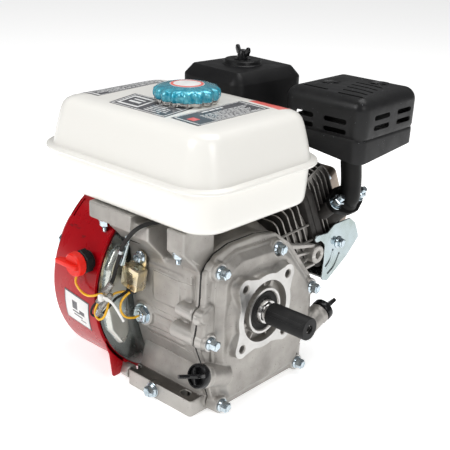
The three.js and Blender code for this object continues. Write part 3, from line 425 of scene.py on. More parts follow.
# ------------------------------------------------------------------ materials
class Nodes:
    """Short names for building one procedural material."""

    def __init__(self, name):
        self.material = bpy.data.materials.new(name)
        self.material.use_nodes = True
        self.tree = self.material.node_tree
        self.shader = self.tree.nodes["Principled BSDF"]
        self.place = self.tree.nodes.new("ShaderNodeTexCoord").outputs["Object"]

    def new(self, kind, **values):
        node = self.tree.nodes.new(kind)
        for key, value in values.items():
            if hasattr(node, key):
                setattr(node, key, value)
            else:
                node.inputs[key].default_value = value
        return node

    def link(self, source, target):
        self.tree.links.new(source, target)

    def noise(self, scale, detail=3.0, roughness=0.55, stretch=None):
        node = self.new("ShaderNodeTexNoise", Scale=scale, Detail=detail, Roughness=roughness)
        source = self.place
        if stretch:
            mapping = self.new("ShaderNodeMapping")
            mapping.inputs["Scale"].default_value = stretch
            self.link(source, mapping.inputs["Vector"])
            source = mapping.outputs["Vector"]
        self.link(source, node.inputs["Vector"])
        return node.outputs["Fac"]

    def ramp(self, source, low, high, from_value=0.0, to_value=1.0):
        node = self.new("ShaderNodeMapRange")
        for key, value in zip(("From Min", "From Max", "To Min", "To Max"),
                              (low, high, from_value, to_value)):
            node.inputs[key].default_value = value
        self.link(source, node.inputs["Value"])
        return node.outputs["Result"]

    def mix(self, factor, first, second):
        node = self.new("ShaderNodeMix", data_type="RGBA")
        self.link(factor, node.inputs["Factor"])
        for value, target in ((first, node.inputs["A"]), (second, node.inputs["B"])):
            if isinstance(value, bpy.types.NodeSocket):
                self.link(value, target)
            else:
                target.default_value = (*value, 1)
        return node.outputs["Result"]

    def bump(self, source, distance, previous=None):
        node = self.new("ShaderNodeBump", Strength=1.0, Distance=distance)
        self.link(source, node.inputs["Height"])
        if previous:
            self.link(previous, node.inputs["Normal"])
        return node.outputs["Normal"]


def surface(name, color, roughness, metallic=0.0, *, second=None, patch=40, patch_range=(0.35, 0.7),
            rough_vary=0.12, grain=None, waves=None, specks=None, wear=None,
            coat=0.0, coat_roughness=0.05, transmission=0.0, specular=0.5, extra=None):
    """Principled material: two colours in patches, uneven gloss, and a bump from grain and waves.

    grain and waves are (noise scale per metre, depth in millimetres); specks is (scale, threshold,
    colour); wear is (colour, amount) for exposed edges."""
    n = Nodes(name)
    shader = n.shader
    shader.inputs["Metallic"].default_value = metallic
    shader.inputs["Coat Weight"].default_value = coat
    shader.inputs["Coat Roughness"].default_value = coat_roughness
    shader.inputs["Transmission Weight"].default_value = transmission
    shader.inputs["Specular IOR Level"].default_value = specular
    second = second or tuple(c * 0.82 for c in color)
    tone = n.mix(n.ramp(n.noise(patch, 4), *patch_range), color, second)
    if wear:
        edge = n.new("ShaderNodeNewGeometry").outputs["Pointiness"]
        tone = n.mix(n.ramp(edge, 0.51, 0.62, 0, wear[1]), tone, wear[0])
    if specks:
        scale, threshold, speck_color = specks
        tone = n.mix(n.ramp(n.noise(scale, 2, 0.7), threshold, threshold + 0.03), tone, speck_color)
    if extra:
        tone = extra(n, tone)
    n.link(tone, shader.inputs["Base Color"])
    gloss = n.ramp(n.noise(60, 3), 0.3, 0.7, max(roughness - rough_vary, 0.02), roughness + rough_vary)
    n.link(gloss, shader.inputs["Roughness"])
    normal = None
    for layer in (waves, grain):
        if layer:
            normal = n.bump(n.noise(layer[0], 3), layer[1] * MM, normal)
    if normal:
        n.link(normal, shader.inputs["Normal"])
    return n.material


def red_scuffs(n, tone):
    """Dark scrapes and a dusty bloom on the gloss paint."""
    scrape = n.ramp(n.noise(38, 5, 0.62, (1, 1, 2.6)), 0.66, 0.7)
    tone = n.mix(n.ramp(scrape, 0, 1, 0, 0.55), tone, (0.06, 0.012, 0.012))
    dust = n.ramp(n.noise(95, 6, 0.75), 0.62, 0.85, 0, 0.14)
    return n.mix(dust, tone, (0.7, 0.3, 0.28))


def chrome_rings(name, centre_y, centre_z):
    """Faced metal with fine turning marks round an axis parallel to X."""
    n = Nodes(name)
    shader = n.shader
    shader.inputs["Metallic"].default_value = 1
    mapping = n.new("ShaderNodeMapping")
    mapping.inputs["Location"].default_value = (0, -centre_y * MM, -centre_z * MM)
    n.link(n.place, mapping.inputs["Vector"])
    rings = n.new("ShaderNodeTexWave", wave_type="RINGS", rings_direction="X", Scale=560, Distortion=0.6)
    n.link(mapping.outputs["Vector"], rings.inputs["Vector"])
    tone = n.mix(n.ramp(n.noise(55, 4), 0.35, 0.7), (0.58, 0.572, 0.558), (0.48, 0.472, 0.458))
    n.link(tone, shader.inputs["Base Color"])
    n.link(n.ramp(n.noise(120, 3), 0.3, 0.7, 0.28, 0.42), shader.inputs["Roughness"])
    n.link(n.bump(rings.outputs["Fac"], 0.012 * MM), shader.inputs["Normal"])
    return n.material


CAST = surface("cast_aluminium", (0.42, 0.4, 0.374), 0.46, 0.62, second=(0.28, 0.264, 0.245), patch=28,
               rough_vary=0.1, grain=(1500, 0.1), waves=(70, 0.3), specks=(520, 0.69, (0.12, 0.112, 0.104)),
               wear=((0.66, 0.64, 0.61), 0.7))
# Darker copy of the cast aluminium: painted shade for the base's upward faces, which the engine above
# shadows.
CAST_PAINTED_SHADE = surface("cast_painted_shade", (0.15, 0.138, 0.126), 0.45, 0.75, second=(0.1, 0.092, 0.084), patch=40,
                    grain=(1500, 0.09), waves=(90, 0.2))
FIN_PAINT = surface("fin_casting", (0.03, 0.028, 0.026), 0.55, 0.15, second=(0.045, 0.041, 0.038), patch=50,
                    specular=0.2, grain=(1400, 0.05))
FIN_EDGE = surface("fin_edge", (0.3, 0.285, 0.266), 0.42, 0.85, grain=(1400, 0.05))
FACED = surface("faced_aluminium", (0.56, 0.55, 0.535), 0.38, 0.95, second=(0.46, 0.45, 0.435), patch=60,
                grain=(900, 0.012))
TURNED = chrome_rings("turned_face", 0, CRANK_Z)
ZINC = surface("zinc_plate", (0.44, 0.51, 0.54), 0.22, 1.0, second=(0.33, 0.39, 0.375), patch=30,
               patch_range=(0.3, 0.75), rough_vary=0.08, waves=(45, 0.35), grain=(700, 0.015),
               wear=((0.68, 0.71, 0.73), 0.5))
# Paler copy of the zinc plate for the duct: part of the paleness is the duct's own tone, part is painted
# highlight for its bright reflections.
DUCT_PAINTED_HIGHLIGHT = surface("zinc_duct_painted_highlight", (0.74, 0.75, 0.71), 0.3, 0.85, second=(0.56, 0.58, 0.53), patch=26,
               patch_range=(0.3, 0.75), rough_vary=0.08, waves=(38, 0.4), grain=(700, 0.015))
BOLT = surface("zinc_bolt", (0.6, 0.67, 0.72), 0.18, 1.0, second=(0.42, 0.51, 0.56), patch=160,
               rough_vary=0.07, grain=(900, 0.02))
STEEL = surface("bright_steel", (0.62, 0.61, 0.6), 0.27, 1.0, second=(0.5, 0.49, 0.48), patch=120,
                grain=(1100, 0.01))
DARK_STEEL = surface("dark_steel", (0.12, 0.115, 0.11), 0.45, 0.9, second=(0.2, 0.16, 0.13), patch=60,
                     grain=(900, 0.03))
BLACK_SCREW = surface("black_screw", (0.03, 0.03, 0.031), 0.25, 0.9, second=(0.05, 0.05, 0.05), patch=200)
IRON = surface("cast_iron", (0.2, 0.19, 0.18), 0.55, 0.8, grain=(800, 0.06))
VALVE_COVER = surface("valve_cover", (0.3, 0.24, 0.19), 0.36, 0.9, second=(0.2, 0.15, 0.12), patch=40,
                      grain=(900, 0.03), wear=((0.6, 0.52, 0.42), 0.6))
GOLD = surface("yellow_zinc", (0.78, 0.65, 0.38), 0.27, 1.0, second=(0.6, 0.54, 0.42), patch=75,
               patch_range=(0.3, 0.65), rough_vary=0.08, waves=(120, 0.05), grain=(900, 0.01))
RED = surface("red_paint", (0.42, 0.001, 0.006), 0.3, 0.0, second=(0.36, 0.001, 0.006), patch=20,
              specular=0.16, rough_vary=0.06, waves=(210, 0.03), coat=0.12, coat_roughness=0.04,
              extra=red_scuffs)
WHITE = surface("white_paint", (0.86, 0.845, 0.8), 0.26, 0.0, second=(0.858, 0.842, 0.796), patch=9,
                rough_vary=0.0, coat=0.3, coat_roughness=0.15)
GUARD = surface("black_guard_paint", (0.009, 0.009, 0.0095), 0.4, 0.0, second=(0.015, 0.015, 0.0155),
                patch=30, specular=0.22, grain=(1100, 0.03), waves=(110, 0.12),
                specks=(420, 0.735, (0.4, 0.41, 0.43)), wear=((0.06, 0.06, 0.063), 0.3))
PIPE = surface("black_pipe_paint", (0.007, 0.007, 0.007), 0.4, 0.0, second=(0.012, 0.0115, 0.011), patch=40,
               specular=0.12, grain=(800, 0.03))
PLASTIC = surface("black_plastic", (0.0075, 0.0075, 0.008), 0.38, 0.0, second=(0.012, 0.012, 0.0125),
                  patch=18, specular=0.18, rough_vary=0.07, grain=(1700, 0.02),
                  specks=(360, 0.755, (0.12, 0.12, 0.125)))
GLOSS_BLACK = surface("gloss_black", (0.008, 0.008, 0.009), 0.22, 0.0, specular=0.3, patch=50,
                      waves=(200, 0.05))
RUBBER = surface("rubber", (0.013, 0.013, 0.013), 0.6, 0.0, second=(0.022, 0.021, 0.02), patch=70,
                 specular=0.25, grain=(1300, 0.03))
SLEEVE = surface("shaft_sleeve", (0.01, 0.01, 0.0105), 0.5, 0.0, second=(0.02, 0.02, 0.02), patch=36,
                 specular=0.15, grain=(900, 0.04), waves=(120, 0.08), specks=(600, 0.72, (0.1, 0.1, 0.1)))
GASKET = surface("gasket", (0.022, 0.021, 0.02), 0.75, 0.0, grain=(900, 0.1))
KNOB = surface("red_plastic", (0.8, 0.02, 0.011), 0.36, 0.0, second=(0.72, 0.017, 0.01), patch=60,
               specular=0.25, rough_vary=0.06, waves=(300, 0.02))
# Blue film of the cap; the paler second colour in small patches is painted glints of light on the crinkled
# film.
FILM_WITH_PAINTED_GLINTS = surface("blue_film", (0.0, 0.34, 0.5), 0.12, 0.4, second=(0.14, 0.58, 0.7), patch=190,
               rough_vary=0.08, waves=(170, 1.0), grain=(480, 0.4), coat=1.0, coat_roughness=0.03)
CHROME = surface("chrome", (0.62, 0.6, 0.57), 0.12, 1.0, rough_vary=0.05, waves=(80, 0.03))
YELLOW = surface("yellow_wire", (0.9, 0.5, 0.02), 0.36, 0.0, second=(0.84, 0.44, 0.02), patch=120,
                 waves=(500, 0.03))
NYLON = surface("white_nylon", (0.82, 0.81, 0.78), 0.42, 0.0, patch=80, waves=(260, 0.03))
CLEAR = surface("clear_sleeve", (0.75, 0.74, 0.72), 0.14, 0.0, second=(0.5, 0.48, 0.45), patch=200,
                waves=(240, 0.3), transmission=0.75, coat=0.6)
LABEL = surface("label", (0.85, 0.85, 0.84), 0.4, 0.0, patch=40)
LABEL_GREY = surface("label_grey", (0.075, 0.075, 0.085), 0.34, 0.0, second=(0.1, 0.1, 0.11), patch=30,
                     coat=0.2, coat_roughness=0.2)
LABEL_RED = surface("label_red", (0.8, 0.12, 0.1), 0.36, 0.0, second=(0.86, 0.2, 0.17), patch=35, coat=0.3)
FOAM = surface("foam", (0.03, 0.028, 0.026), 0.95, 0.0, grain=(900, 0.5))
PHENOLIC = surface("phenolic", (0.05, 0.028, 0.02), 0.5, 0.0, grain=(700, 0.05))
CARB = surface("carburettor_alloy", (0.6, 0.58, 0.54), 0.4, 0.9, second=(0.5, 0.46, 0.38), patch=70,
               grain=(1300, 0.05), wear=((0.75, 0.73, 0.7), 0.4))


# ------------------------------------------------------------------ camera, floor and light
LIGHT_TARGET = (0, 0.05, 0.15)  # metres


def stage():
    camera = bpy.data.objects.new("camera", bpy.data.cameras.new("camera"))
    bpy.context.scene.collection.objects.link(camera)
    azimuth, elevation, roll = math.radians(41.88), math.radians(21.11), math.radians(1.88)
    back = Vector((math.sin(azimuth) * math.cos(elevation), -math.cos(azimuth) * math.cos(elevation),
                   math.sin(elevation)))
    turn = (-back).to_track_quat("-Z", "Y").to_matrix().to_4x4()
    camera.matrix_world = Matrix.Translation((0.6014, -0.6420, 0.5158)) @ turn @ Matrix.Rotation(roll, 4, "Z")
    camera.data.lens = 72
    camera.data.sensor_width = 36
    camera.data.clip_start = 0.05
    bpy.context.scene.camera = camera

    floor = make_object("floor", bpy.data.meshes.new("floor"))
    floor.data.from_pydata([(-9, -9, 0), (9, -9, 0), (9, 9, 0), (-9, 9, 0)], [], [(0, 1, 2, 3)])
    paper = surface("floor", (0.93, 0.93, 0.925), 0.7, 0.0, second=(0.92, 0.92, 0.915), patch=2, specular=0.2)
    shader = paper.node_tree.nodes["Principled BSDF"]
    shader.inputs["Emission Color"].default_value = (1, 1, 1, 1)
    shader.inputs["Emission Strength"].default_value = 0.58
    floor.data.materials.append(paper)

    def softbox(name, place, size, power):
        light = bpy.data.lights.new(name, "AREA")
        light.shape = "RECTANGLE"
        light.size, light.size_y = size
        light.energy = power
        lamp = bpy.data.objects.new(name, light)
        bpy.context.scene.collection.objects.link(lamp)
        aim_at = (Vector(LIGHT_TARGET) - Vector(place)).to_track_quat("-Z", "Y")
        lamp.matrix_world = Matrix.Translation(place) @ aim_at.to_matrix().to_4x4()

    softbox("key", (-0.5, -1.7, 1.5), (1.1, 1.1), 22)
    softbox("side", (1.9, -0.5, 1.2), (0.7, 1.0), 9.5)
    softbox("top", (0.2, 0.5, 2.1), (1.4, 1.4), 27)
    world = bpy.data.worlds.new("studio")
    bpy.context.scene.world = world
    world.use_nodes = True
    tree = world.node_tree
    background = tree.nodes["Background"]
    height = tree.nodes.new("ShaderNodeSeparateXYZ")
    tree.links.new(tree.nodes.new("ShaderNodeTexCoord").outputs["Generated"], height.inputs[0])
    ramp = tree.nodes.new("ShaderNodeValToRGB")
    ramp.color_ramp.elements[0].position = 0.0
    ramp.color_ramp.elements[0].color = (0.62, 0.63, 0.64, 1)
    ramp.color_ramp.elements[1].position = 0.75
    ramp.color_ramp.elements[1].color = (1, 1, 1, 1)
    tree.links.new(height.outputs["Z"], ramp.inputs[0])
    tree.links.new(ramp.outputs["Color"], background.inputs["Color"])
    background.inputs["Strength"].default_value = 0.24
    bpy.context.scene.view_settings.view_transform = "Standard"


stage()


# ------------------------------------------------------------------ fuel tank and cap
def fuel_tank():
    low, high = box_mm("fuel_tank")
    box = (low.x, high.x, low.y, high.y, 42)
    lower = [(34, 206.7), (20, 206.8), (15, 207.8), (12, 210.2), (10.8, 214), (10, 222)]
    rim = [(8.4, -2.6), (7.4, -2), (1.0, -2), (0.1, -1), (0, 0), (0.4, 1.2), (1.4, 1.9), (6.0, 1.9),
           (7.2, 2.6), (8.0, 5)]
    upper = [(11.2, 272), (14.4, 284), (16.4, 290.5), (18.6, 295.4), (21.8, 299), (26.5, 301.2), (33, 302.4),
             (42, 303)]
    body = box_stack("z", box, lower + [(d, TANK_RIM_Z + z) for d, z in rim] + upper, 12)
    cap = frame_centre("fuel_cap")
    neck = revolve([(0, 300), (31, 300), (30, 303.3), (27, 304.2), (25.5, 305.5), (25, 308), (22, 308.4),
                    (0, 308.4)], 64)
    tank = piece("tank_shell", body + neck.at(cap.x, cap.y, 0), WHITE,
                 replaces=("fuel_tank",), angle=40)
    drain = rod((-100, 40, 209), (-100, 40, 200), 7) + rod((-100, 40, 200.5), (-100, 40, 192), 4)
    piece("tank_outlet", drain, STEEL)
    labels = [("label_rear", [(-139, 44), (-133, -57), (-104, -57), (-111, 44)], LABEL_GREY),
              ("label_middle", [(-76, -66), (-88, -20), (-3, -20), (4, -66)], LABEL_GREY),
              ("label_front", [(9, -63), (47, -65), (46, 38), (6, 40)], LABEL_GREY),
              ("label_red", [(11, 46), (13, 59), (58, 57), (56, 41)], LABEL_RED)]
    bpy.context.view_layer.update()
    for name, corners, material in labels:
        piece(name, draped(tank, corners, [(0, 1, 0, 1)], 0.12, 16), material, angle=50)
        if material is LABEL_GREY:
            marks = draped(tank, corners, LABEL_BORDER + LABEL_MARKS[name], 0.24, 5)
            piece(name + "_marks", marks, LABEL, angle=50)
    symbol = draped(tank, labels[2][1], [(0.36, 0.62, 0.08, 0.17)], 0.3, 4)
    piece("label_front_symbol", symbol, LABEL_RED, angle=50)


def draped(base, corners, marks, rise, steps):
    """Thin sheets that follow the top of base; each mark is (s0, s1, t0, t1) across the four corners."""
    c = [Vector(p) for p in corners]
    sheets = []
    for s0, s1, t0, t1 in marks:
        least = 2 if max(s1 - s0, t1 - t0) > 0.5 else 1
        rows_s, rows_t = (max(int(math.ceil(steps * span)), least) for span in (s1 - s0, t1 - t0))
        grid = []
        for i in range(rows_s + 1):
            for j in range(rows_t + 1):
                s, t = s0 + (s1 - s0) * i / rows_s, t0 + (t1 - t0) * j / rows_t
                xy = c[0].lerp(c[1], s).lerp(c[3].lerp(c[2], s), t)
                hit, place, _, _ = base.ray_cast(Vector((xy.x, xy.y, 400)) * MM, Vector((0, 0, -1)))
                grid.append((xy.x, xy.y, (place.z / MM if hit else 300.0) + rise))
        count, row = len(grid), rows_t + 1
        verts = grid + [(x, y, z - 0.1) for x, y, z in grid]
        faces = []
        for i in range(rows_s):
            for j in range(rows_t):
                k = i * row + j
                faces.append((k, k + row, k + row + 1, k + 1))
                faces.append((count + k, count + k + 1, count + k + row + 1, count + k + row))
        edge = [i * row for i in range(rows_s)] + [rows_s * row + j for j in range(rows_t)]
        edge += [i * row + rows_t for i in range(rows_s, 0, -1)] + [j for j in range(rows_t, 0, -1)]
        for k, first in enumerate(edge):
            second = edge[(k + 1) % len(edge)]
            faces.append((first, count + first, count + second, second))
        sheets.append(Shape(verts, faces))
    return together(sheets)


def text_rows(first, last, step, start, end, seed, thick=0.4):
    """Rows of blank bars, broken like words, as (s0, s1, t0, t1) across a label."""
    rng = np.random.default_rng(seed)
    marks = []
    for s in np.arange(first, last, step):
        t = start
        stop = end - rng.uniform(0, 0.18)
        while t < stop:
            word = rng.uniform(0.03, 0.11)
            marks.append((s, s + step * thick, t, min(t + word, stop)))
            t += word + 0.014
    return marks


LABEL_BORDER = [(0.03, 0.97, 0.03, 0.045), (0.03, 0.97, 0.955, 0.97), (0.03, 0.055, 0.03, 0.97),
                (0.945, 0.97, 0.03, 0.97)]
LABEL_MARKS = {
    "label_front": (text_rows(0.36, 0.92, 0.085, 0.26, 0.95, 3)
                    + text_rows(0.12, 0.24, 0.14, 0.36, 0.8, 5, 0.6)),
    "label_middle": text_rows(0.14, 0.9, 0.11, 0.56, 0.95, 7) + [
        (0.14, 0.86, 0.07, 0.1), (0.14, 0.22, 0.1, 0.42), (0.4, 0.5, 0.16, 0.36), (0.78, 0.86, 0.1, 0.42),
        (0.14, 0.86, 0.42, 0.45), (0.6, 0.66, 0.16, 0.36)],
    "label_rear": [(t0, t1, s0, s1) for s0, s1, t0, t1 in text_rows(0.16, 0.86, 0.16, 0.07, 0.94, 9, 0.42)],
}


def fuel_cap():
    centre = frame_centre("fuel_cap")
    scallops, count = 16, 320
    angles = np.arange(count) * 2 * math.pi / count
    wave = 0.5 + 0.5 * np.cos(scallops * angles)
    rng = np.random.default_rng(5)
    wrinkle = sum(rng.uniform(0.1, 0.3) * np.sin(k * angles + rng.uniform(0, 6.28)) for k in (23, 37, 52, 71))

    def ring(radius, depth, z, crease=0.0):
        r = radius - depth * (1 - wave) ** 1.5 + crease * wrinkle
        return np.column_stack([r * np.cos(angles), r * np.sin(angles), z + 0.6 * crease * np.roll(wrinkle,
                40)])

    film = [ring(31, 1.5, 307.2, 0.6), ring(33.6, 2.6, 308, 0.7), ring(34.6, 3.2, 310.5, 0.5),
            ring(34.6, 3.2, 314, 0.5), ring(33.6, 2.4, 317, 0.5), ring(31, 1.0, 318.8, 0.3),
            ring(27, 0.2, 320, 0.1), ring(22, 0, 320.9), ring(12, 0, 321.6), ring(0.01, 0, 321.8)]
    piece("fuel_cap_film", loft(film).at(centre.x, centre.y, 0), FILM_WITH_PAINTED_GLINTS, body="fuel_cap",
          replaces=("fuel_cap",), angle=70)
    skirt = [ring(24, 0, 299), ring(28, 0, 303.6), ring(32.4, 2.2, 304.2), ring(33.4, 2.8, 305),
             ring(33.2, 2.8, 308.4), ring(30, 1, 309)]
    piece("fuel_cap_skirt", loft(skirt).at(centre.x, centre.y, 0), CHROME, body="fuel_cap", angle=50)
    disc = revolve([(0, 320.9), (17.4, 320.9), (17.6, 321.35), (13.5, 321.65), (0, 321.95)], 56)
    band = ring_solid([(14.2, 321.0), (17.0, 321.0), (16.9, 321.52), (14.2, 321.72)], 56)
    piece("fuel_cap_disc", disc.at(centre.x, centre.y, 0), LABEL, body="fuel_cap", angle=60)
    piece("fuel_cap_band", band.at(centre.x, centre.y, 0.04), LABEL_RED, body="fuel_cap", slot="red_plastic",
          angle=60)


# ------------------------------------------------------------------ air cleaner
AIR_CLEANER = Matrix.Translation((-94, 155, 0)) @ Matrix.Rotation(math.radians(-5), 4, "Z")


def air_cleaner():
    top = 312
    box = (-50, 50, -55, 55, 15)
    plan = box_outline(-50, 50, -55, 55, 15, 8)
    levels = [(2.4, 238.2), (0, 238.4), (0, 243), (0.6, 244.2), (0.9, 246), (0.2, 299), (0.7, 300.6),
              (9.6, top - 1.4), (11, top - 0.3), (13, top)]
    dome = [(0, -1), (24, -1), (23.6, 0.6), (22.4, 1.4), (21.6, 4.6), (20.4, 5.9), (17.5, 6.3), (12, 5.2),
            (10.4, 4.9), (9.6, 5.4), (4, 5.4), (0, 5.4)]
    dome = revolve([(r, top + z) for r, z in dome], 72)
    piece("air_cleaner_shell", (box_stack("z", box, levels) + dome).moved(AIR_CLEANER), PLASTIC,
          replaces=("air_cleaner_cover", "air_filter"), angle=28)
    tray = stack("z", plan, [(9, 226.5), (4, 226.5), (1.6, 228.4), (1, 232), (0.4, 233), (0.4, 237.6)])
    lip = stack("z", inset(plan, -0.4), [(0.6, 235.6), (0, 236), (0, 237.4), (0.6, 237.8)])
    stud = rod((0, 0, 300), (0, 0, 325), 2.8, edge=0.6)
    clips = [slab("y", box_outline(226, 244, -9, 9, 3), side * 56.2 - 1.2, side * 56.2 + 1.2, 0.4)
             for side in (-1, 1)]
    inverse = AIR_CLEANER.inverted()
    route = [inverse @ Vector(p) for p in [(-98.3, 143, 166), (-104, 143, 166.5), (-110, 143.6, 171),
                                           (-112, 145, 182), (-112, 147, 205), (-112, 149, 229)]]
    elbow = sweep(smooth_path([tuple(p) for p in route], 8), circle(13.6, segments=36))
    cuff = sweep(smooth_path([tuple(p) for p in route[:2]], 4), circle(15.2, segments=36))
    ribs = [slab("x", [(-40, 229), (40, 229), (34, 221), (-34, 221)], x - 1, x + 1, 0.4)
            for x in (-30, 0, 30)]
    piece("air_cleaner_tray", together([tray, lip, *clips, elbow, cuff, *ribs]).moved(AIR_CLEANER), PLASTIC,
          replaces=("air_cleaner_base",), angle=35)
    piece("air_cleaner_stud", stud.moved(AIR_CLEANER), STEEL)


def wing_nut():
    place = Matrix.Translation((-94, 155, 0)) @ Matrix.Rotation(math.radians(-18), 4, "Z")
    washer = revolve([(0, 317.7), (9.5, 317.7), (9.6, 318.4), (6, 319), (0, 319)], 40)
    hub = revolve([(0, 318.6), (6.6, 318.6), (6.4, 322), (5.2, 327.5), (4.2, 328.4), (0, 328.4)], 32)
    wings = []
    for side in (-1, 1):
        outline = rounded([(320, side * 3), (322.6, side * 12), (328, side * 15.2), (332.6, side * 14.6),
                           (332.8, side * 10.5), (327, side * 6.5), (326, side * 3)], 2.2, 4)
        wings.append(slab("y", outline, -1.7, 1.7, 0.8))
    piece("wing_nut", together([washer, hub, *wings]).moved(place), GLOSS_BLACK, body="air_cleaner_nut",
          replaces=("air_cleaner_nut",), angle=40)


# ------------------------------------------------------------------ muffler with its guard
def slot_outline(a0, a1, b0, b1):
    return box_outline(a0, a1, b0, b1, min(a1 - a0, b1 - b0) / 2.02, 5)


def muffler_guard():
    low, high = box_mm("muffler_guard")
    box = (low.x, high.x, low.y, high.y, 14)
    crease, bend = 262, 14
    outside = [(1.6, low.z), (1.0, crease - 3), (1.3, crease - 1), (1.9, crease + 0.4), (1.2, crease + 2.2),
               (0.6, crease + 4)]
    arc = [(bend * (1 - math.cos(t)), high.z - 1.4 - bend * (1 - math.sin(t)))
           for t in np.radians(np.linspace(0, 84, 11))]
    outside += arc + [(15, high.z - 1.3), (22, high.z - 0.7), (32, high.z - 0.2), (44, high.z)]
    inside = [(d + 1.5, z - (8 if z == low.z else 0)) for d, z in outside[:6]]
    inside += [(d + 1.5, z - 1.2) for d, z in arc] + [(17, high.z - 2.6), (30, high.z - 2.2)]
    cuts = [box_stack("z", box, inside)]
    sheared = (Matrix.Translation((high.x, low.y, low.z)) @ Matrix.Rotation(math.atan(0.09), 4, "X")
               @ Matrix.Rotation(math.atan(0.12), 4, "Y"))
    cuts.append(slab("z", [(-250, -250), (250, -250), (250, 250), (-250, 250)], -60, 0, 0).moved(sheared))
    for z in (266, 277):
        for x0, x1 in ((12, 36), (49.5, 79.5)):
            cuts.append(slab("y", slot_outline(z, z + 5.6, x0, x1), low.y - 5, low.y + 8, 0))
            cuts.append(slab("y", slot_outline(z, z + 5.6, x0, x1), high.y - 8, high.y + 5, 0))
    for z in (270.6, 281.6):
        for y0, y1 in ((147.5, 177), (191, 218.5)):
            cuts.append(slab("x", slot_outline(y0, y1, z, z + 5.6), high.x - 8, high.x + 5, 0))
            cuts.append(slab("x", slot_outline(y0, y1, z, z + 5.6), low.x - 5, low.x + 8, 0))
    top_slots = [(9, 42, 141), (57, 89, 138), (54, 86, 151), (50, 84, 164), (47, 81, 177), (44, 79, 190)]
    for x0, x1, y in top_slots:
        cuts.append(slab("z", slot_outline(x0, x1, y - 1.9, y + 1.9), high.z - 9, high.z + 4, 0))
    screws = [(22, 172), (61.5, 209)]
    for x, y in screws:
        dimple = [(0, -3.0), (8.4, -3.0), (11.6, -1.2), (13.6, 0.4), (13.6, 4), (0, 4)]
        cuts.append(revolve([(r, high.z + z) for r, z in dimple], 40).at(x, y, 0))
    guard = solid("muffler_guard_shell", box_stack("z", box, outside))
    carve(guard, *cuts)
    cup = [(0, -5.0), (10.6, -5.0), (13.2, -1.9), (13.4, -0.9), (12.2, -1.6), (9.4, -3.4), (0, -3.6)]
    cups = [revolve([(r, high.z + z) for r, z in cup], 40).at(x, y, 0) for x, y in screws]
    dress(guard, GUARD, replaces=("muffler_guard",), angle=44)
    piece("muffler_guard_cups", cups, GUARD)
    heads = []
    for x, y in screws:
        head = revolve([(0, 0), (4.6, 0), (4.8, 0.8), (3.6, 2.2), (0, 2.6)], 28)
        cross = slab("z", box_outline(-2.6, 2.6, -0.5, 0.5, 0.3, 2), 2.2, 2.75, 0.1)
        head = head + cross + cross.moved(Matrix.Rotation(math.pi / 2, 4, "Z"))
        heads.append(head.at(x, y, high.z - 3.7))
    piece("muffler_guard_screws", heads, BLACK_SCREW)


def muffler():
    low, high = box_mm("muffler")
    can = (low.x, high.x, low.y, high.y, 20)
    middle = (low.z + high.z) / 2
    shell = box_stack("z", can, [(24, low.z), (14, low.z + 1), (6, low.z + 5), (3.4, middle - 2.2),
                                 (0.4, middle - 2), (0, middle - 1), (0, middle + 1), (0.4, middle + 2),
                                 (3.4, middle + 2.2), (6, high.z - 5), (14, high.z - 1), (24, high.z)])
    piece("muffler_can", shell, PIPE, slot="dark_steel", replaces=("muffler",), angle=38)


# ------------------------------------------------------------------ side cover
COVER_OUTLINE = [(-50, 2), (76, 2), (86, 12), (88, 30), (103, 54), (103, 86), (99, 110), (60, 158),
                 (34, 177), (6, 182), (-32, 182), (-54, 176), (-69, 162), (-71, 120), (-76, 96), (-74, 80),
                 (-66, 60), (-60, 30)]
COVER_DOME = [(-42, 12), (70, 12), (78, 32), (93, 56), (93, 84), (89, 106), (53, 150), (30, 168), (-28, 172),
              (-44, 166), (-55, 150), (-58, 110), (-58, 70), (-52, 36)]
CASE_OUTLINE = [(-36, 0), (84, 0), (88, 30), (103, 54), (103, 86), (98, 110), (60, 158), (34, 172),
                (-52, 172), (-69, 160), (-67, 105), (-60, 70), (-50, 38), (-38, 18)]
WALL_LINES = [[(-31, 100), (50, 98)], [(-24, 73), (12, 74.5)], [(-25, 80), (-24.5, 63)],
              [(-24, 62.5), (48, 61)], [(-14, 144), (28, 143), (51, 143)], [(53, 141), (54, 128)],
              [(53, 76), (53, 44)], [(-30, 47), (48, 45)]]
EAR_ANGLES = [math.radians(43 + 90 * k) for k in range(4)]
EARS = [(HOLE_CIRCLE * math.cos(a), CRANK_Z + HOLE_CIRCLE * math.sin(a)) for a in EAR_ANGLES]


def turned(profile, y=0.0, z=0.0, segments=64):
    """Profile of (radius, x) turned about a line parallel to X."""
    flipped = revolve([(r, x) for r, x in profile], segments)
    return flipped.moved(Matrix.Translation((0, y, z)) @ Matrix.Rotation(math.pi / 2, 4, "Y"))


def filler(side, distance):
    y, z = (-77.5, 56.5) if side < 0 else (116, 59.5)
    return (FILLER_X, y + side * math.cos(FILLER_TILT) * distance, z + math.sin(FILLER_TILT) * distance)


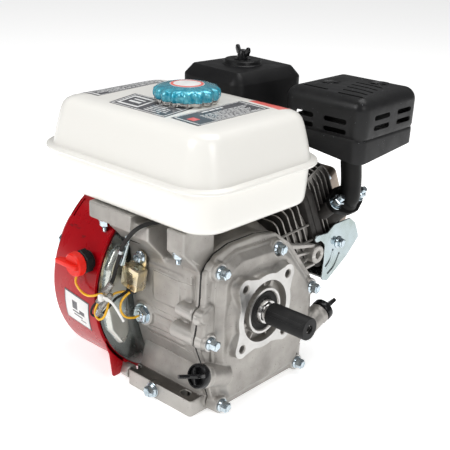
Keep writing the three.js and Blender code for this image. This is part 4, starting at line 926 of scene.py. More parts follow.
def side_cover():
    outline = rounded(COVER_OUTLINE, 9, 5)
    dome = rounded(COVER_DOME, 9, 5)
    shapes = [stack("x", outline, [(0, COVER_X), (0, 65.4), (0.8, 66.2)]),
              stack("x", inset(dome, -4.5), [(0, 60), (0.3, 68.3), (1.4, 69.2)]),
              stack("x", dome, [(0, 60), (0, 70.5), (5.6, 75.4), (6.4, 75.6)])]
    for y, z in COVER_BOLTS:
        shapes.append(turned([(0, COVER_X), (9.8, COVER_X), (9.4, 72.4), (8.6, 73.4), (0, 73.4)], y, z, 32))
    for y, z in DOWELS:
        shapes.append(turned([(0, COVER_X), (7.4, COVER_X), (6.8, 70), (6, 71), (0, 71)], y, z, 28))
    hub = [(0, 66), (50, 66), (49.5, 75.4), (44, 77.2), (41.2, 80), (40.2, OUTPUT_FACE_X + 0.8),
           (0, OUTPUT_FACE_X + 0.8)]
    shapes.append(turned(hub, 0, CRANK_Z, 72))
    for (y, z), a in zip(EARS, EAR_ANGLES):
        shapes.append(turned([(0, 66), (12.2, 66), (11.2, 77), (10.4, 80), (10.2, OUTPUT_FACE_X + 0.8),
                              (0, OUTPUT_FACE_X + 0.8)], y, z, 36))
        out = Vector((0, math.cos(a), math.sin(a)))
        start = Vector((71.5, y, z))
        shapes.append(rod(tuple(start), tuple(start + out * 13), 8.4, 5))
        toward = math.atan2(z - CRANK_Z, y)
        web = [(r * math.cos(toward + math.radians(turn)), CRANK_Z
                + r * math.sin(toward + math.radians(turn))) for r, turn in ((39.5, -29), (43.2, -20),
                (48.6, -12.5), (48.6, 12.5), (43.2, 20), (39.5, 29))]
        shapes.append(stack("x", np.array(web), [(-1.6, 68), (-0.5, 79), (0, OUTPUT_FACE_X + 0.8)]))
    for side in (-1, 1):
        shapes.append(rod(filler(side, -36), filler(side, -0.2), 11.8, 11.4, 0.8, 40))
        shapes.append(rod(filler(side, -7), filler(side, -0.2), 12.4, 12.2, 0.8, 40))
    shapes.append(slab("x", rounded([(-76, 84), (-60, 84), (-60, 132), (-74, 126)], 5, 4), COVER_X, 70.5, 2))
    cover = fused("side_cover_casting", shapes, 0.95, 5)
    cuts = [turned([(0, OUTPUT_FACE_X), (70, OUTPUT_FACE_X), (70, 100), (0, 100)], 0, CRANK_Z)]
    ring = ring_solid([(24.8, 76.4), (32.6, 76.4), (33.2, OUTPUT_FACE_X - 0.6), (34.0, 92), (24.0, 92),
                       (24.4, OUTPUT_FACE_X - 1.2)], 72)
    cuts.append(ring.moved(TO_SHAFT))
    cuts.append(turned([(0, 60), (20.9, 60), (20.9, 82.6), (22, 84.2), (26, 84.2), (26, 92), (0, 92)], 0,
                       CRANK_Z, 72))
    for y, z in EARS:
        cuts.append(turned([(0, 70), (3.9, 70), (3.9, OUTPUT_FACE_X - 1.1), (5.2, OUTPUT_FACE_X + 0.2),
                            (5.2, 92), (0, 92)], y, z, 32))
    for y, z in COVER_BOLTS:
        cuts.append(turned([(0, 72.9), (8.3, 72.9), (8.3, 80), (0, 80)], y, z, 32))
    cuts.append(slab("x", [(-120, -10), (140, -10), (140, 230), (-120, 230)], 40, COVER_X, 0))
    carve(cover, *cuts)
    dress(cover, CAST, TURNED, replaces=("side_cover",), angle=26)

    def faced(c, normal):
        flat_face = normal.x > 0.9 and c.x > 72.85
        seat = any((c.y - y) ** 2 + (c.z - z) ** 2 < 70 for y, z in COVER_BOLTS)
        return flat_face and (c.x > 84.15 or (seat and c.x < 73.2))
    paint_faces(cover, 1, faced)


def cover_details():
    ribs = []
    for angle, width in ((62, 5.5), (85, 1.6), (118, 2.2), (152, 2.2), (200, 4.6), (238, 1.8), (285, 2.2),
                         (325, 2.2)):
        rib = slab("x", box_outline(25.5, 32.2, -width / 2, width / 2, 0.5, 2), 75.5, 80.5, 0.4)
        ribs.append(rib.moved(about_crank(math.radians(angle))))
    piece("output_recess_ribs", ribs, CAST)
    marks = []
    for i in range(9):
        marks.append(slab("x", box_outline(-12 + i * 3.6, -10.9 + i * 3.6, 170.5, 175.5, 0.3, 2), 65.5, 66.9,
                          0.2))
    for i in range(7):
        marks.append(slab("x", box_outline(24 + i * 3.2, 25.1 + i * 3.2, 168 - i * 2.2, 172.6 - i * 2.2, 0.3,
                2), 65.5, 66.9, 0.2))
    piece("cover_edge_marks", marks, CAST)


def gasket_line():
    outline = rounded(COVER_OUTLINE, 9, 5)
    line = loft([lift(inset(outline, 0.4), "x", CASE_FRONT_X - 0.3), lift(inset(outline, 0.2), "x",
            CASE_FRONT_X + 0.2), lift(inset(outline, 0.2), "x", COVER_X - 0.2), lift(inset(outline, 0.4),
            "x", COVER_X + 0.3)])
    piece("cover_gasket_edge", line, GASKET, replaces=("cover_gasket",))


def cover_bolts_and_seal():
    for i, (y, z) in enumerate(COVER_BOLTS):
        piece(f"cover_bolt_{i + 1}", flange_bolt((72.9, y, z), X, 10, 9.5, 0.25 * i), BOLT)
    seal = ring_solid([(12.95, 77), (20.8, 77), (20.8, 83.0), (19.8, 83.5), (18.4, 82.4), (15.6, 82.0),
                       (14.2, 84.0), (12.95, 83.4)], 72)
    seal = seal.moved(TO_SHAFT)
    piece("oil_seal_lip", seal, RUBBER, replaces=("output_oil_seal",))


# ------------------------------------------------------------------ shaft end
def shaft_end():
    sleeve = ring_solid([(9.9, 93), (11.2, 93), (11.75, 93.6), (11.75, 140.4), (11.1, 141.4), (4.6, 141.4),
                         (4.6, 139.6), (9.9, 139.6)], 64)
    key = slab("z", box_outline(94, 138.5, -2.3, 2.3, 1.5, 4), CRANK_Z + 11.2, CRANK_Z + 12.05, 0.3)
    twist = about_crank(KEY_ANGLE) @ Matrix.Translation((0, 0, -CRANK_Z))
    piece("shaft_end_sleeve", sleeve.moved(TO_SHAFT) + key.moved(twist), SLEEVE, body="crankshaft",
          replaces=("shaft_sleeve",), angle=40)
    end = ring_solid([(3.1, 120), (9.7, 120), (9.7, 139.3), (9.0, 139.5), (3.9, 139.5), (3.1, 138.8)], 48)
    collar = revolve([(0, 70), (12.5, 70), (12.5, 88.2), (12.0, 88.8), (9.7, 89.2), (9.7, 95), (0, 95)], 64)
    piece("shaft_end_face", end.moved(TO_SHAFT), STEEL, body="crankshaft", angle=40)
    piece("shaft_collar", collar.moved(TO_SHAFT), STEEL, body="crankshaft", angle=40)


# ------------------------------------------------------------------ crankcase with the barrel
def level_switch(y):
    return (LEVEL_SWITCH_XZ[0], y, LEVEL_SWITCH_XZ[1])


def crankcase():
    wall = rounded(CASE_OUTLINE, 9, 5)
    flange = rounded(COVER_OUTLINE, 9, 5)
    shapes = [stack("x", wall, [(5, CASE_REAR_X), (0.5, -43), (0, 46)]),
              stack("x", flange, [(8, 44), (0.8, 51.5), (0.2, CASE_FRONT_X)])]
    foot = box_outline(-40, 55, -76.5, 106, 4, 4)
    shapes.append(stack("z", inset(foot, 0.7), [(0, 0), (0, BASE_HEIGHT - 0.7)]))
    shapes.append(slab("x", [(-60, 16), (-36, 16), (-46, 52), (-53, 44)], -38, 53, 1))
    for y, z in COVER_BOLTS:
        shapes.append(rod((30, y, z), (CASE_FRONT_X, y, z), 9, 9.6, 1.5, 32))
    for y, z in DOWELS:
        shapes.append(rod((34, y, z), (CASE_FRONT_X, y, z), 6.4, 7.4, 1.5, 28))
    shapes.append(rod(level_switch(-50), level_switch(-68), 15.5, 13.6, 0.8, 40))
    shapes.append(rod((0, -70, 10), (0, -77.4, 10), 10.5, 9, 0.6, 36))
    root = [(-66, 150), (-57, 166), (-50, 171)]
    long_arm = [(-96, 189), (-72, 163), *root, (-50, ARM_TOP), (-96, ARM_TOP)]
    low_arm = [(-91, 184), (-72, 163), *root, (-50, 198.4), (-91, 198.4)]
    short_arm = [(-92, 184), (-71, 162), *root, (-50, ARM_TOP), (-92, ARM_TOP)]
    shapes.append(slab("x", long_arm, -44, -12, 1.2))
    shapes.append(slab("x", low_arm, -13, 8, 1.2))
    shapes.append(slab("x", short_arm, 34, CASE_FRONT_X, 1.2))
    shapes.append(slab("z", box_outline(-76, -43, -96, -79, 3, 3), 189, ARM_TOP, 1.2))
    shapes.append(slab("x", rounded([(-62, 160), (-50, 174), (-30, 172), (-40, 160)], 4, 3), -44,
                       CASE_FRONT_X, 1))
    shapes.append(slab("z", box_outline(-20, 20, 14, 32, 3, 3), 160, ARM_TOP, 1))
    shapes.append(rod((34, *BRACKET_YZ), (61.6, *BRACKET_YZ), 9.4, 8.8, 0.8, 32))
    shapes.append(slab("x", [(84, 96), (112, 116), (122, 126), (114, 134), (84, 144)], 36, 50, 1.5))
    barrel = [rod((0, 0, 50), (0, 0, DECK), 44, 44, 1, 72),
              slab("z", box_outline(-25, 25, 30, 60, 6, 4), 50, DECK, 1)]
    shapes += [b.moved(CYLINDER) for b in barrel]

    # raised panels on the tank-side wall, which leans with the outline
    def wall_y(z):
        if z > 105:
            return -67.0 - 2.0 * (z - 105) / 55
        return -60.0 - 7.0 * (z - 70) / 35

    def panel(x0, x1, z0, z1, rise):
        outline = box_outline(x0, x1, z0, z1, 4, 4)
        rings = []
        for back, grow in ((2.5, 0), (-rise + 0.4, 0), (-rise, 0.5)):
            ring = inset(outline, grow)
            rings.append(np.array([(a, wall_y(b) + back, b) for a, b in ring]))
        return loft(rings[::-1])

    shapes += [panel(-38, 36, 92, 150, 1.1), panel(-8, 30, 110, 146, 2.0), panel(-36, 30, 66, 84, 1.0)]
    case = fused("crankcase_casting", shapes, 1.1, 3)
    slot_levels = [(0, -2), (0, BASE_HEIGHT - 0.5), (-0.8, BASE_HEIGHT + 0.2), (-0.8, BASE_HEIGHT + 4)]
    base_slots = []
    for x in BASE_SLOT_X:
        for y in BASE_SLOT_Y:
            base_slots.append(stack("z", box_outline(x - 6, x + 6, y - 4.5, y + 4.5, 4.4, 5), slot_levels))
    bracket_hole = rod((45, *BRACKET_YZ), (66, *BRACKET_YZ), 3.5, 3.5, 0, 28)
    cover_side = slab("x", [(-140, -20), (180, -20), (180, 240), (-140, 240)], CASE_FRONT_X, 90, 0)
    underside = slab("z", [(-200, -200), (200, -200), (200, 200), (-200, 200)], -20, 0, 0)
    carve(case, *base_slots, bracket_hole, cover_side, underside, *wall_grooves(case))
    dress(case, CAST, FACED, CAST_PAINTED_SHADE, replaces=("crankcase",), angle=26)
    paint_faces(case, 1, lambda c, n: n.z > 0.95 and c.z > ARM_TOP - 0.7)
    # Painted shade: upward faces low on the base get the darker copy of the casting.
    paint_faces(case, 2, lambda c, n: n.z > 0.6 and c.z < 24)
    plate_levels = [(0.5, 0), (0, 0.5), (0, BASE_HEIGHT - 0.8), (0.8, BASE_HEIGHT)]
    flange_plate = solid("base_flange", stack("z", foot, plate_levels))
    carve(flange_plate, *base_slots)
    dress(flange_plate, CAST, CAST_PAINTED_SHADE, angle=30)
    # Painted shade: the flange plate's top gets the darker copy of the casting.
    paint_faces(flange_plate, 1, lambda c, n: n.z > 0.9)


def wall_grooves(case):
    """Thin parting grooves that follow the tank-side wall."""
    bpy.context.view_layer.update()
    grooves = []
    for route in WALL_LINES:
        line = []
        for (xa, za), (xb, zb) in zip(route, route[1:]):
            for t in np.linspace(0, 1, 8):
                start = Vector((xa + (xb - xa) * t, -140, za + (zb - za) * t))
                hit, place, _, _ = case.ray_cast(start * MM, Vector((0, 1, 0)))
                place = place / MM
                if hit and place.y < -50 and (not line or (Vector(line[-1]) - place).length > 0.5):
                    line.append(tuple(place))
        if len(line) > 3:
            grooves.append(sweep(line, circle(0.62, segments=6)))
    return grooves


def bolt_bosses():
    bolts = [(-57, 162), (-68.6, 89.5)]
    bosses = [rod((24, y, z), (CASE_FRONT_X - 0.2, y, z), 9.0, 9.8, 1.2, 44) for y, z in bolts]
    bosses.append(rod((34, -73.4, 117), (CASE_FRONT_X - 0.2, -73.4, 117), 6.6, 7.4, 1.0, 36))
    bosses.append(rod((59.4, -74, 115.5), (68, -74, 115.5), 7.4, 6.6, 1.4, 36))
    bosses += [rod((59.4, y, z), (68.6, y, z), 9.8, 9.2, 1.0, 44) for y, z in bolts]
    piece("bolt_bosses", bosses, CAST, angle=40)


def shroud_bracket():
    bracket = [slab("x", [(66, 118), (112, 114), (120, 126), (114, 138), (66, 150)], 38, 43, 0.8),
               slab("x", [(64, 146.5), (113, 135.5), (115.5, 138.6), (64, 151.5)], 40, 58.6, 1.0),
               slab("x", [(78, 110.5), (117, 113), (118, 116), (78, 114.5)], 40, 58.6, 1.0),
               slab("x", [(72, 132.5), (112, 127.5), (112, 130), (72, 136)], 40, 56, 0.8),
               slab("x", [(84, 112), (87, 112), (112, 122), (111, 124.5)], 40, 55, 0.8)]
    boss = rod((38, *BRACKET_YZ), (61.4, *BRACKET_YZ), 11.4, 10.4, 1.0, 48)
    arm = solid("shroud_bracket", [boss])
    carve(arm, rod((52, *BRACKET_YZ), (66, *BRACKET_YZ), 4.2, 4.4, 0, 28),
          rod((60.4, *BRACKET_YZ), (66, *BRACKET_YZ), 4.4, 8.0, 0, 28))
    dress(arm, CAST, angle=35)
    piece("shroud_bracket_ribs", bracket, CAST, angle=30)


def barrel_fins():
    deck = slab("z", box_outline(-50, 50, -46, 62, 10, 6), 121, DECK, 1.2)
    piece("barrel_deck", deck.moved(CYLINDER), FIN_PAINT)
    fins = []
    for i in range(5):
        u = 75 + 9 * i
        fins.append(slab("z", box_outline(-48, 48, -46, 48, 8, 5), u + 0.2, u + 2.2, 0.5))
    sheet = solid("barrel_fins", together(fins).moved(CYLINDER))
    dress(sheet, FIN_PAINT, FIN_EDGE)
    axis = CYLINDER.to_3x3() @ Vector((0, 0, 1))
    paint_faces(sheet, 1, lambda c, n: abs(n.dot(axis)) < 0.8)
    bars = []
    for y0, y1 in ((-4, 16), (-26, -6)):
        bars.append(rod((47.6, y0, 72), (47.6, y1, 121), 1.5, 1.5, 0.4, 12))
    piece("barrel_fin_ribs", together(bars).moved(CYLINDER), FIN_EDGE)


def crankcase_fittings():
    drain = flange_bolt((0, -77.3, 10), FORWARD, 11, 7.5, 0.2)
    washer = rod((0, -77.0, 10), (0, -78.2, 10), 8.4, 8.4, 0.3, 32)
    piece("drain_bolt", drain.at(0, -1.0, 0) + washer, BOLT)
    nut = [hex_prism(17, 0, 6, 1.2).moved(aim(level_switch(-68), FORWARD, 0.3)),
           rod(level_switch(-67.6), level_switch(-69), 11.4, 11.4, 0.4, 36),
           rod(level_switch(-73), level_switch(-75.6), 5.2, 4.6, 0.6, 28)]
    piece("level_switch_nut", nut, BOLT)
    for name, x, y, z in (("tank_stud_rear", -60, -87.5, 189), ("tank_stud_front", 44, -85, 184.6)):
        piece(name, stud_and_nut((x, y, z), DOWN, 10, 7, 14, 3, 0.3), BOLT)
    boss = rod((-62, -70, 12), (-40, -70, 12), 7.2, 7.6, 0.8, 32)
    piece("housing_foot_boss", boss, CAST)
    piece("housing_foot_bolt", rod((-68, -70, 12), (-61.8, -70, 12), 6.2, 6.6, 1.2, 32), RUBBER,
          slot="black_plastic")


# ------------------------------------------------------------------ cylinder head
PORT = Vector((65, 152, 182))
PORT_OUT = Vector((math.sqrt(0.5), 0, math.sqrt(0.5)))
PORT_STUD_Y = (-21, 21)


def cylinder_head():
    base = slab("z", box_outline(-50, 50, -48, 64, 12, 6), DECK + 0.5, 138, 1)
    core = slab("z", box_outline(-34, 36, -34, 60, 10, 5), 137, 172, 1)
    rim = slab("z", box_outline(-34, 36, -26, 64, 10, 5), 168, 176.2, 0.8)
    inverse = CYLINDER.inverted()
    boss = rod(tuple(inverse @ (PORT - PORT_OUT * 32)), tuple(inverse @ (PORT - PORT_OUT * 0.4)), 14.5, 15,
               0.8, 40)
    lug = []
    for y in PORT_STUD_Y:
        face = PORT + Vector((0, y, 0))
        lug.append(rod(tuple(inverse @ (face - PORT_OUT * 18)), tuple(inverse @ (face - PORT_OUT * 0.4)),
                       8, 8, 0.8, 28))
    plug = rod((*PLUG_XY, 136), (*PLUG_XY, 172), 11, 11, 0.8, 36)
    piece("head_casting", together([base, core, rim, boss, *lug, plug]).moved(CYLINDER), FIN_PAINT,
          replaces=("cylinder_head",), angle=35)
    fins = []
    for i in range(5):
        u = 141 + 6.6 * i
        fins.append(slab("z", box_outline(-50, 50, -56, 50, 14, 6), u + 0.1, u + 1.8, 0.4))
    for x in (-44, -22, 0, 22, 44):
        fins.append(slab("y", box_outline(139, 168, x - 0.9, x + 0.9, 0.4, 2), -55, -34, 0.3))
    sheet = solid("head_fins", together(fins).moved(CYLINDER))
    dress(sheet, FIN_PAINT, FIN_EDGE)
    axis = CYLINDER.to_3x3() @ Vector((0, 0, 1))
    paint_faces(sheet, 1, lambda c, n: abs(n.dot(axis)) < 0.8)
    cover = box_stack("z", (-34, 36, -26, 64, 12), [(0, 176.7), (0, 178.4), (2.6, 179.2), (3.6, 181),
            (4.4, 199), (6, 203), (9.4, 205.6), (13, 206)])
    teeth = []
    for k, (x, y) in enumerate(inset(rounded([(-34, -26), (36, -26), (36, 64), (-34, 64)], 12, 12), -0.2)):
        if k % 2 == 0:
            teeth.append(rod((x, y, 176.8), (x, y, 178.6), 1.5, 1.5, 0.2, 8))
    piece("valve_cover_shell", (cover + together(teeth)).moved(CYLINDER), VALVE_COVER,
          replaces=("valve_cover",), angle=30)
    bolts = [flange_bolt((x, y, 178.6), UP, 10, 7, 0.3) for x, y in ((-30, -22), (32, -22), (-30, 60),
            (32, 60))]
    piece("valve_cover_bolts", together(bolts).moved(CYLINDER), BOLT)
    plug_body = [hex_prism(19, 174.4, 181, 1).at(*PLUG_XY, 0), rod((*PLUG_XY, 150), (*PLUG_XY, 174.6), 6.6,
            6.6, 0.5, 28)]
    piece("spark_plug_body", together(plug_body).moved(CYLINDER), STEEL, replaces=("spark_plug",))
    boot = [rod((*PLUG_XY, 183), (*PLUG_XY, 208), 8.2, 9, 1.5, 36), rod((*PLUG_XY, 204.5), (-42, -40, 204.5),
            6.6, 5.4, 1.2, 28)]
    piece("spark_plug_boot", together(boot).moved(CYLINDER), RUBBER, replaces=("spark_plug_cap",))


def exhaust():
    route = [tuple(PORT + PORT_OUT * 5), tuple(PORT + PORT_OUT * 12), (77, 147, 212), (78, 142, 236),
             (78, 142, 242), (78, 142, 248)]
    pipe = sweep(smooth_path(route, 10), circle(11.4, segments=40))
    turn = Matrix.Translation(PORT) @ Matrix.Rotation(math.pi / 4, 4, "Y")
    outline = rounded([(-17, -8), (-8, -27), (8, -27), (17, -8), (17, 8), (8, 27), (-8, 27), (-17, 8)], 8, 6)
    plate = slab("z", outline, 0.2, 6, 0.8)
    collar = revolve([(0, 5), (15.5, 5), (14, 7.5), (12.2, 9.5), (0, 9.5)], 48)
    piece("exhaust_elbow", pipe + (plate + collar).moved(turn), PIPE, replaces=("exhaust_pipe",), angle=35)
    for i, y in enumerate(PORT_STUD_Y):
        stud = stud_and_nut((0, y, 6), UP, 12, 8, 14, 3.6, 0.25)
        piece(f"exhaust_stud_{i + 1}", stud.moved(turn), BOLT)


# ------------------------------------------------------------------ blower housing and starter
def housing_outline(inset_by):
    """Blower housing seen along the shaft: the drum's arc on one side, square on the other."""
    steps, end, bottom = 60, 244, 7
    radius, top = HOUSING_RADIUS - inset_by, 203.5 - inset_by
    start = math.pi - math.asin((top - CRANK_Z) / radius)
    points = [(radius * math.cos(a), CRANK_Z + radius * math.sin(a)) for a in np.linspace(start,
            math.radians(end), steps)]
    right = [(96 - inset_by, bottom + inset_by), (117 - inset_by, 56), (117 - inset_by, 150),
             (98 - inset_by, 190), (66, top)]
    soft = rounded([points[-1]] + right + [points[0]], [0.5, 12, 14, 14, 14, 8, 0.5], 6)
    return np.array(points[1:-1] + [tuple(p) for p in soft])


def drum_patch(corners, radius, across=10, along=10, thick=0.25):
    """Curved sheet on the drum; each corner is (x, angle in degrees)."""
    grid = []
    (x0, a0), (x1, a1), (x2, a2), (x3, a3) = corners
    for lift_by in (0.0, thick):
        for i in range(along + 1):
            for j in range(across + 1):
                s, t = i / along, j / across
                x = (1 - s) * ((1 - t) * x0 + t * x1) + s * ((1 - t) * x3 + t * x2)
                a = math.radians((1 - s) * ((1 - t) * a0 + t * a1) + s * ((1 - t) * a3 + t * a2))
                r = radius + lift_by
                grid.append((x, r * math.cos(a), CRANK_Z + r * math.sin(a)))
    faces, row, layer = [], across + 1, (across + 1) * (along + 1)
    for i in range(along):
        for j in range(across):
            k = i * row + j
            faces.append((k, k + 1, k + row + 1, k + row))
            faces.append((layer + k, layer + k + row, layer + k + row + 1, layer + k + 1))
    edge = [j for j in range(across)] + [i * row + across for i in range(along)]
    edge += [along * row + j for j in range(across, 0, -1)] + [i * row for i in range(along, 0, -1)]
    for k, a in enumerate(edge):
        b = edge[(k + 1) % len(edge)]
        faces.append((a, layer + a, layer + b, b))
    return Shape(grid, faces)


def blower_housing():
    levels = [(9, -122), (3.4, -121.4), (1.0, -119.6), (0, -117), (0, -52.5), (-1.2, -51), (-1.2, -50)]
    outer = loft([lift(housing_outline(d), "x", x) for d, x in levels])
    inner = loft([lift(housing_outline(d + 2), "x", x) for d, x in [(8, -119.8), (2, -118), (1, -116),
            (0, -110), (0, -52), (-0.6, -45)]])
    shell = solid("blower_housing_shell", outer)
    cuts = [inner, turned([(0, -130), (66, -130), (66, -112), (0, -112)], 0, CRANK_Z, 72)]
    for a0, a1, x in ((129, 140, -118.2), (129, 140, -113.6), (146, 148, -117), (153.5, 160.5, -119)):
        for k in range(int((a1 - a0) / 2.2)):
            a = math.radians(a0 + k * 2.2 + 1.1)
            cut = slab("y", box_outline(-3, 3, x - 1.0, x + 1.0, 0.8, 3), 104, 118, 0)
            cuts.append(cut.moved(about_crank(a)))
    carve(shell, *cuts)
    dress(shell, RED, replaces=("blower_housing",), angle=30)
    tab = slab("x", rounded([(-101, 62), (-92, 36), (-88, 8.5), (-78, 8.5), (-72, 27), (-84, 50)], 2.5, 3),
               -52.4, -50, 0.7)
    piece("blower_housing_foot", tab, RED)


def drum_label():
    """Blank sticker on the drum."""
    corners = [(-100, 180.1), (-60.5, 183.1), (-67, 202.9), (-103.5, 199.4)]
    piece("drum_label_border", drum_patch(corners, HOUSING_RADIUS + 0.1), LABEL_GREY, slot="black_paint")
    middle = tuple(sum(c[k] for c in corners) / 4 for k in range(2))
    small = [(middle[0] + (x - middle[0]) * 0.93, middle[1] + (a - middle[1]) * 0.91) for x, a in corners]
    piece("drum_label", drum_patch(small, HOUSING_RADIUS + 0.25), LABEL)
    bars = []
    for s0, s1, t0, t1 in ((0.3, 0.52, 0.2, 0.5), (0.3, 0.6, 0.56, 0.62), (0.34, 0.72, 0.68, 0.74),
                           (0.6, 0.82, 0.44, 0.6), (0.62, 0.86, 0.8, 0.84)):
        quad = []
        for s, t in ((s0, t0), (s1, t0), (s1, t1), (s0, t1)):
            (x0, a0), (x1, a1), (x2, a2), (x3, a3) = small
            quad.append(((1 - t) * ((1 - s) * x0 + s * x1) + t * ((1 - s) * x3 + s * x2),
                         (1 - t) * ((1 - s) * a0 + s * a1) + t * ((1 - s) * a3 + s * a2)))
        bars.append(drum_patch(quad, HOUSING_RADIUS + 0.42, 3, 3, 0.12))
    piece("drum_label_bars", bars, LABEL_GREY, slot="black_paint")


def starter_bolts():
    rim_bolts = []
    for a in (35, 155, 275):
        y, z = 100 * math.cos(math.radians(a)), CRANK_Z + 100 * math.sin(math.radians(a))
        rim_bolts.append(flange_bolt((-122, y, z), REAR, 10, 6, 0.3))
    piece("starter_bolts", rim_bolts, BOLT)


def rope_at(y):
    return (ROPE_X, y, ROPE_Z)


def starter():
    dish = [(88, -122.4), (92, -122.4), (92, -124.2), (88.4, -125.2), (86.6, -136), (80, -149), (73, -161),
            (69, -165.6), (58, -169.2), (54, -170), (20, -170), (19, -168.8), (8, -168.6), (0, -168.6)]
    back = [(0, -166.6), (18, -166.6), (54, -167.6), (68, -163.2), (71, -160), (84.6, -135.6), (86, -124),
            (86, -122.4)]
    shell = solid("starter_shell", ring_like(dish, back))
    cuts = []
    for i in range(6):
        slot = slab("x", slot_outline(34, 52, -5, 5), -180, -150, 0)
        cuts.append(slot.moved(about_crank((i + 0.5) * math.pi / 3)))
    for i in range(16):
        if i != 2:  # the rope guide stands there
            slot = slab("x", slot_outline(60, 78, -2.6, 2.6), -180, -140, 0)
            cuts.append(slot.moved(about_crank(i * math.pi / 8)))
    hole = rod(rope_at(60), rope_at(96), 5, 5, 0, 28)
    carve(shell, *cuts, hole)
    dress(shell, RED, replaces=("starter_housing",), angle=34)
    guide = ring_solid([(5, 0), (8.4, 0), (9.4, 1), (9.4, 2.4), (8, 3.4), (8, 14), (5, 14)], 36)
    piece("rope_guide", guide.moved(Matrix.Translation(rope_at(73.6)) @ Matrix.Rotation(math.pi / 2, 4,
            "X")), GLOSS_BLACK)
    post = turned([(0, -168), (11, -168), (11, -131), (9.5, -130), (0, -130)], 0, CRANK_Z, 40)
    piece("starter_post", post, RED)


def starter_reel():
    reel = turned_ring([(11.6, -132), (60, -132), (60, -135), (52, -136), (52, -144), (60, -145), (60, -148),
                        (11.6, -148)])
    ropes = [turned_ring([(52.1, -136.4 - 2.5 * k), (54.6, -136.6 - 2.5 * k), (54.6, -138.4 - 2.5 * k),
                          (52.1, -138.6 - 2.5 * k)]) for k in range(3)]
    piece("starter_reel_body", reel, PLASTIC, body="starter_reel", replaces=("starter_reel",))
    piece("starter_rope_turns", ropes, NYLON, body="starter_reel")


def starter_grip():
    bar = []
    grip_levels = [(7, 132), (3, 133), (1, 135.5), (0, 139), (0, 185), (1, 188.5), (3, 191), (7, 192)]
    for inset_by, height in grip_levels:
        ring = box_outline(ROPE_X - 8 + inset_by, ROPE_X + 8 - inset_by, 82 + inset_by * 0.8,
                           96 - inset_by * 0.8, max(6.5 - inset_by, 1), 6)
        bow = 1.6 * math.cos((height - ROPE_Z) / 30 * math.pi / 2)
        bar.append(np.array([(x, y - 0.8 + bow * (y > 89), height) for x, y in ring]))
    neck = rod(rope_at(74.8), rope_at(84), 5.4, 7.4, 0.8, 36)
    grooves = [slab("z", box_outline(-149.0, -131.0, 85.5, 92.5, 3, 3), z, z + 1.2, 0.4)
               for z in (140, 146, 176, 182)]
    piece("starter_handle", loft(bar) + neck, PLASTIC, body="starter_grip", replaces=("starter_grip",),
          angle=40)
    piece("starter_handle_ribs", grooves, PLASTIC, body="starter_grip")


def starter_rope():
    cord = solid("starter_rope", rod_steps(rope_at(57), rope_at(75.5), 2.2, 12))
    cord.data.materials.append(NYLON)
    cord.data.polygons.foreach_set("use_smooth", [True] * len(cord.data.polygons))
    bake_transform(cord)


def rod_steps(start, end, radius, steps, segments=14):
    a, b = Vector(start), Vector(end)
    route = [tuple(a.lerp(b, k / steps)) for k in range(steps + 1)]
    return sweep(route, circle(radius, segments=segments))


def turned_ring(profile, segments=72):
    return ring_solid([(r, x) for r, x in profile], segments).moved(TO_SHAFT)


def ring_like(front, back):
    """Dish about the crankshaft line from its outer and inner profiles of (radius, x)."""
    profile = list(reversed(front)) + list(reversed(back))
    return revolve([(max(r, 0), x) for r, x in profile], 96).moved(TO_SHAFT)


# ------------------------------------------------------------------ zinc shrouds
def shrouds():
    outline = housing_outline(2.6)
    plate = loft([lift(outline, "x", -49.8), lift(outline, "x", -48.6)])
    bulge = rounded([(-72, 158), (-72, 92), (-69, 60), (-77, 42), (-97, 70), (-103.5, 106), (-97, 140),
                     (-85, 160)], 11, 8)
    body = fused("inner_shroud_duct", stack("x", bulge, [(-1, -49.4), (0, -46.5), (2.6, -42.6)]), 1.1, 10)
    made = solid("inner_shroud_plate", plate)
    carve(made, turned([(0, -60), (38, -60), (38, -40), (0, -40)], 0, CRANK_Z, 64))
    dress(made, ZINC, replaces=("inner_shroud",), angle=30)
    # The duct gets the paler zinc, which carries its painted highlight.
    dress(body, DUCT_PAINTED_HIGHLIGHT, angle=60)
    low = rounded([(112, 141), (112, 150), (134, 148), (146, 155), (177, 155), (189, 146), (198, 127),
                   (176, 108), (140, 87), (129, 91), (131, 112), (131, 134), (123, 141)], 5, 5)
    face = stack("x", low, [(0.6, 58.4), (0, 58.8), (0, 60.0), (0.5, 60.4)])
    strip_outline = [(197.6, 125.0), (197.6, 127.2), (176.6, 109.8), (141.2, 89), (141.2, 87.2), (177, 107.6)]
    strip = slab("x", strip_outline, -36, 59.6, 0.2)
    curves = []
    for k, (y0, z0, y1, z1, y2, z2) in enumerate([(139, 95, 151, 102, 160, 116), (134, 105, 142, 112, 147,
            124)]):
        route = smooth_path([(58.8, y0, z0), (58.9, y1, z1), (58.8, y2, z2)], 10)
        curves.append(sweep(route, circle(3.0, segments=18)))
    dent = turned([(0, 60.0), (9, 60.0), (8, 60.9), (6.6, 60.5), (0, 60.5)], 156, 131, 40)
    sheet = fused("lower_shroud_sheet", [face, dent, *curves], 0.7, 5)
    dress(sheet, ZINC, replaces=("lower_shroud",), angle=40)
    piece("lower_shroud_strip", strip, ZINC, angle=32)
    piece("lower_shroud_bolt", flange_bolt((60.6, 156, 131), X, 10, 7, 0.5), BOLT)
    coil = slab("y", box_outline(92, 136, -86, -62, 4, 4), 93, 111.6, 1)
    laminations = [slab("y", box_outline(84, 144, -78 + 2 * k, -76.4 + 2 * k, 0.2, 2), 92, 100, 0.1)
                   for k in range(4)]
    piece("coil_body", coil, GLOSS_BLACK, replaces=("ignition_coil",))
    piece("coil_laminations", laminations, DARK_STEEL)


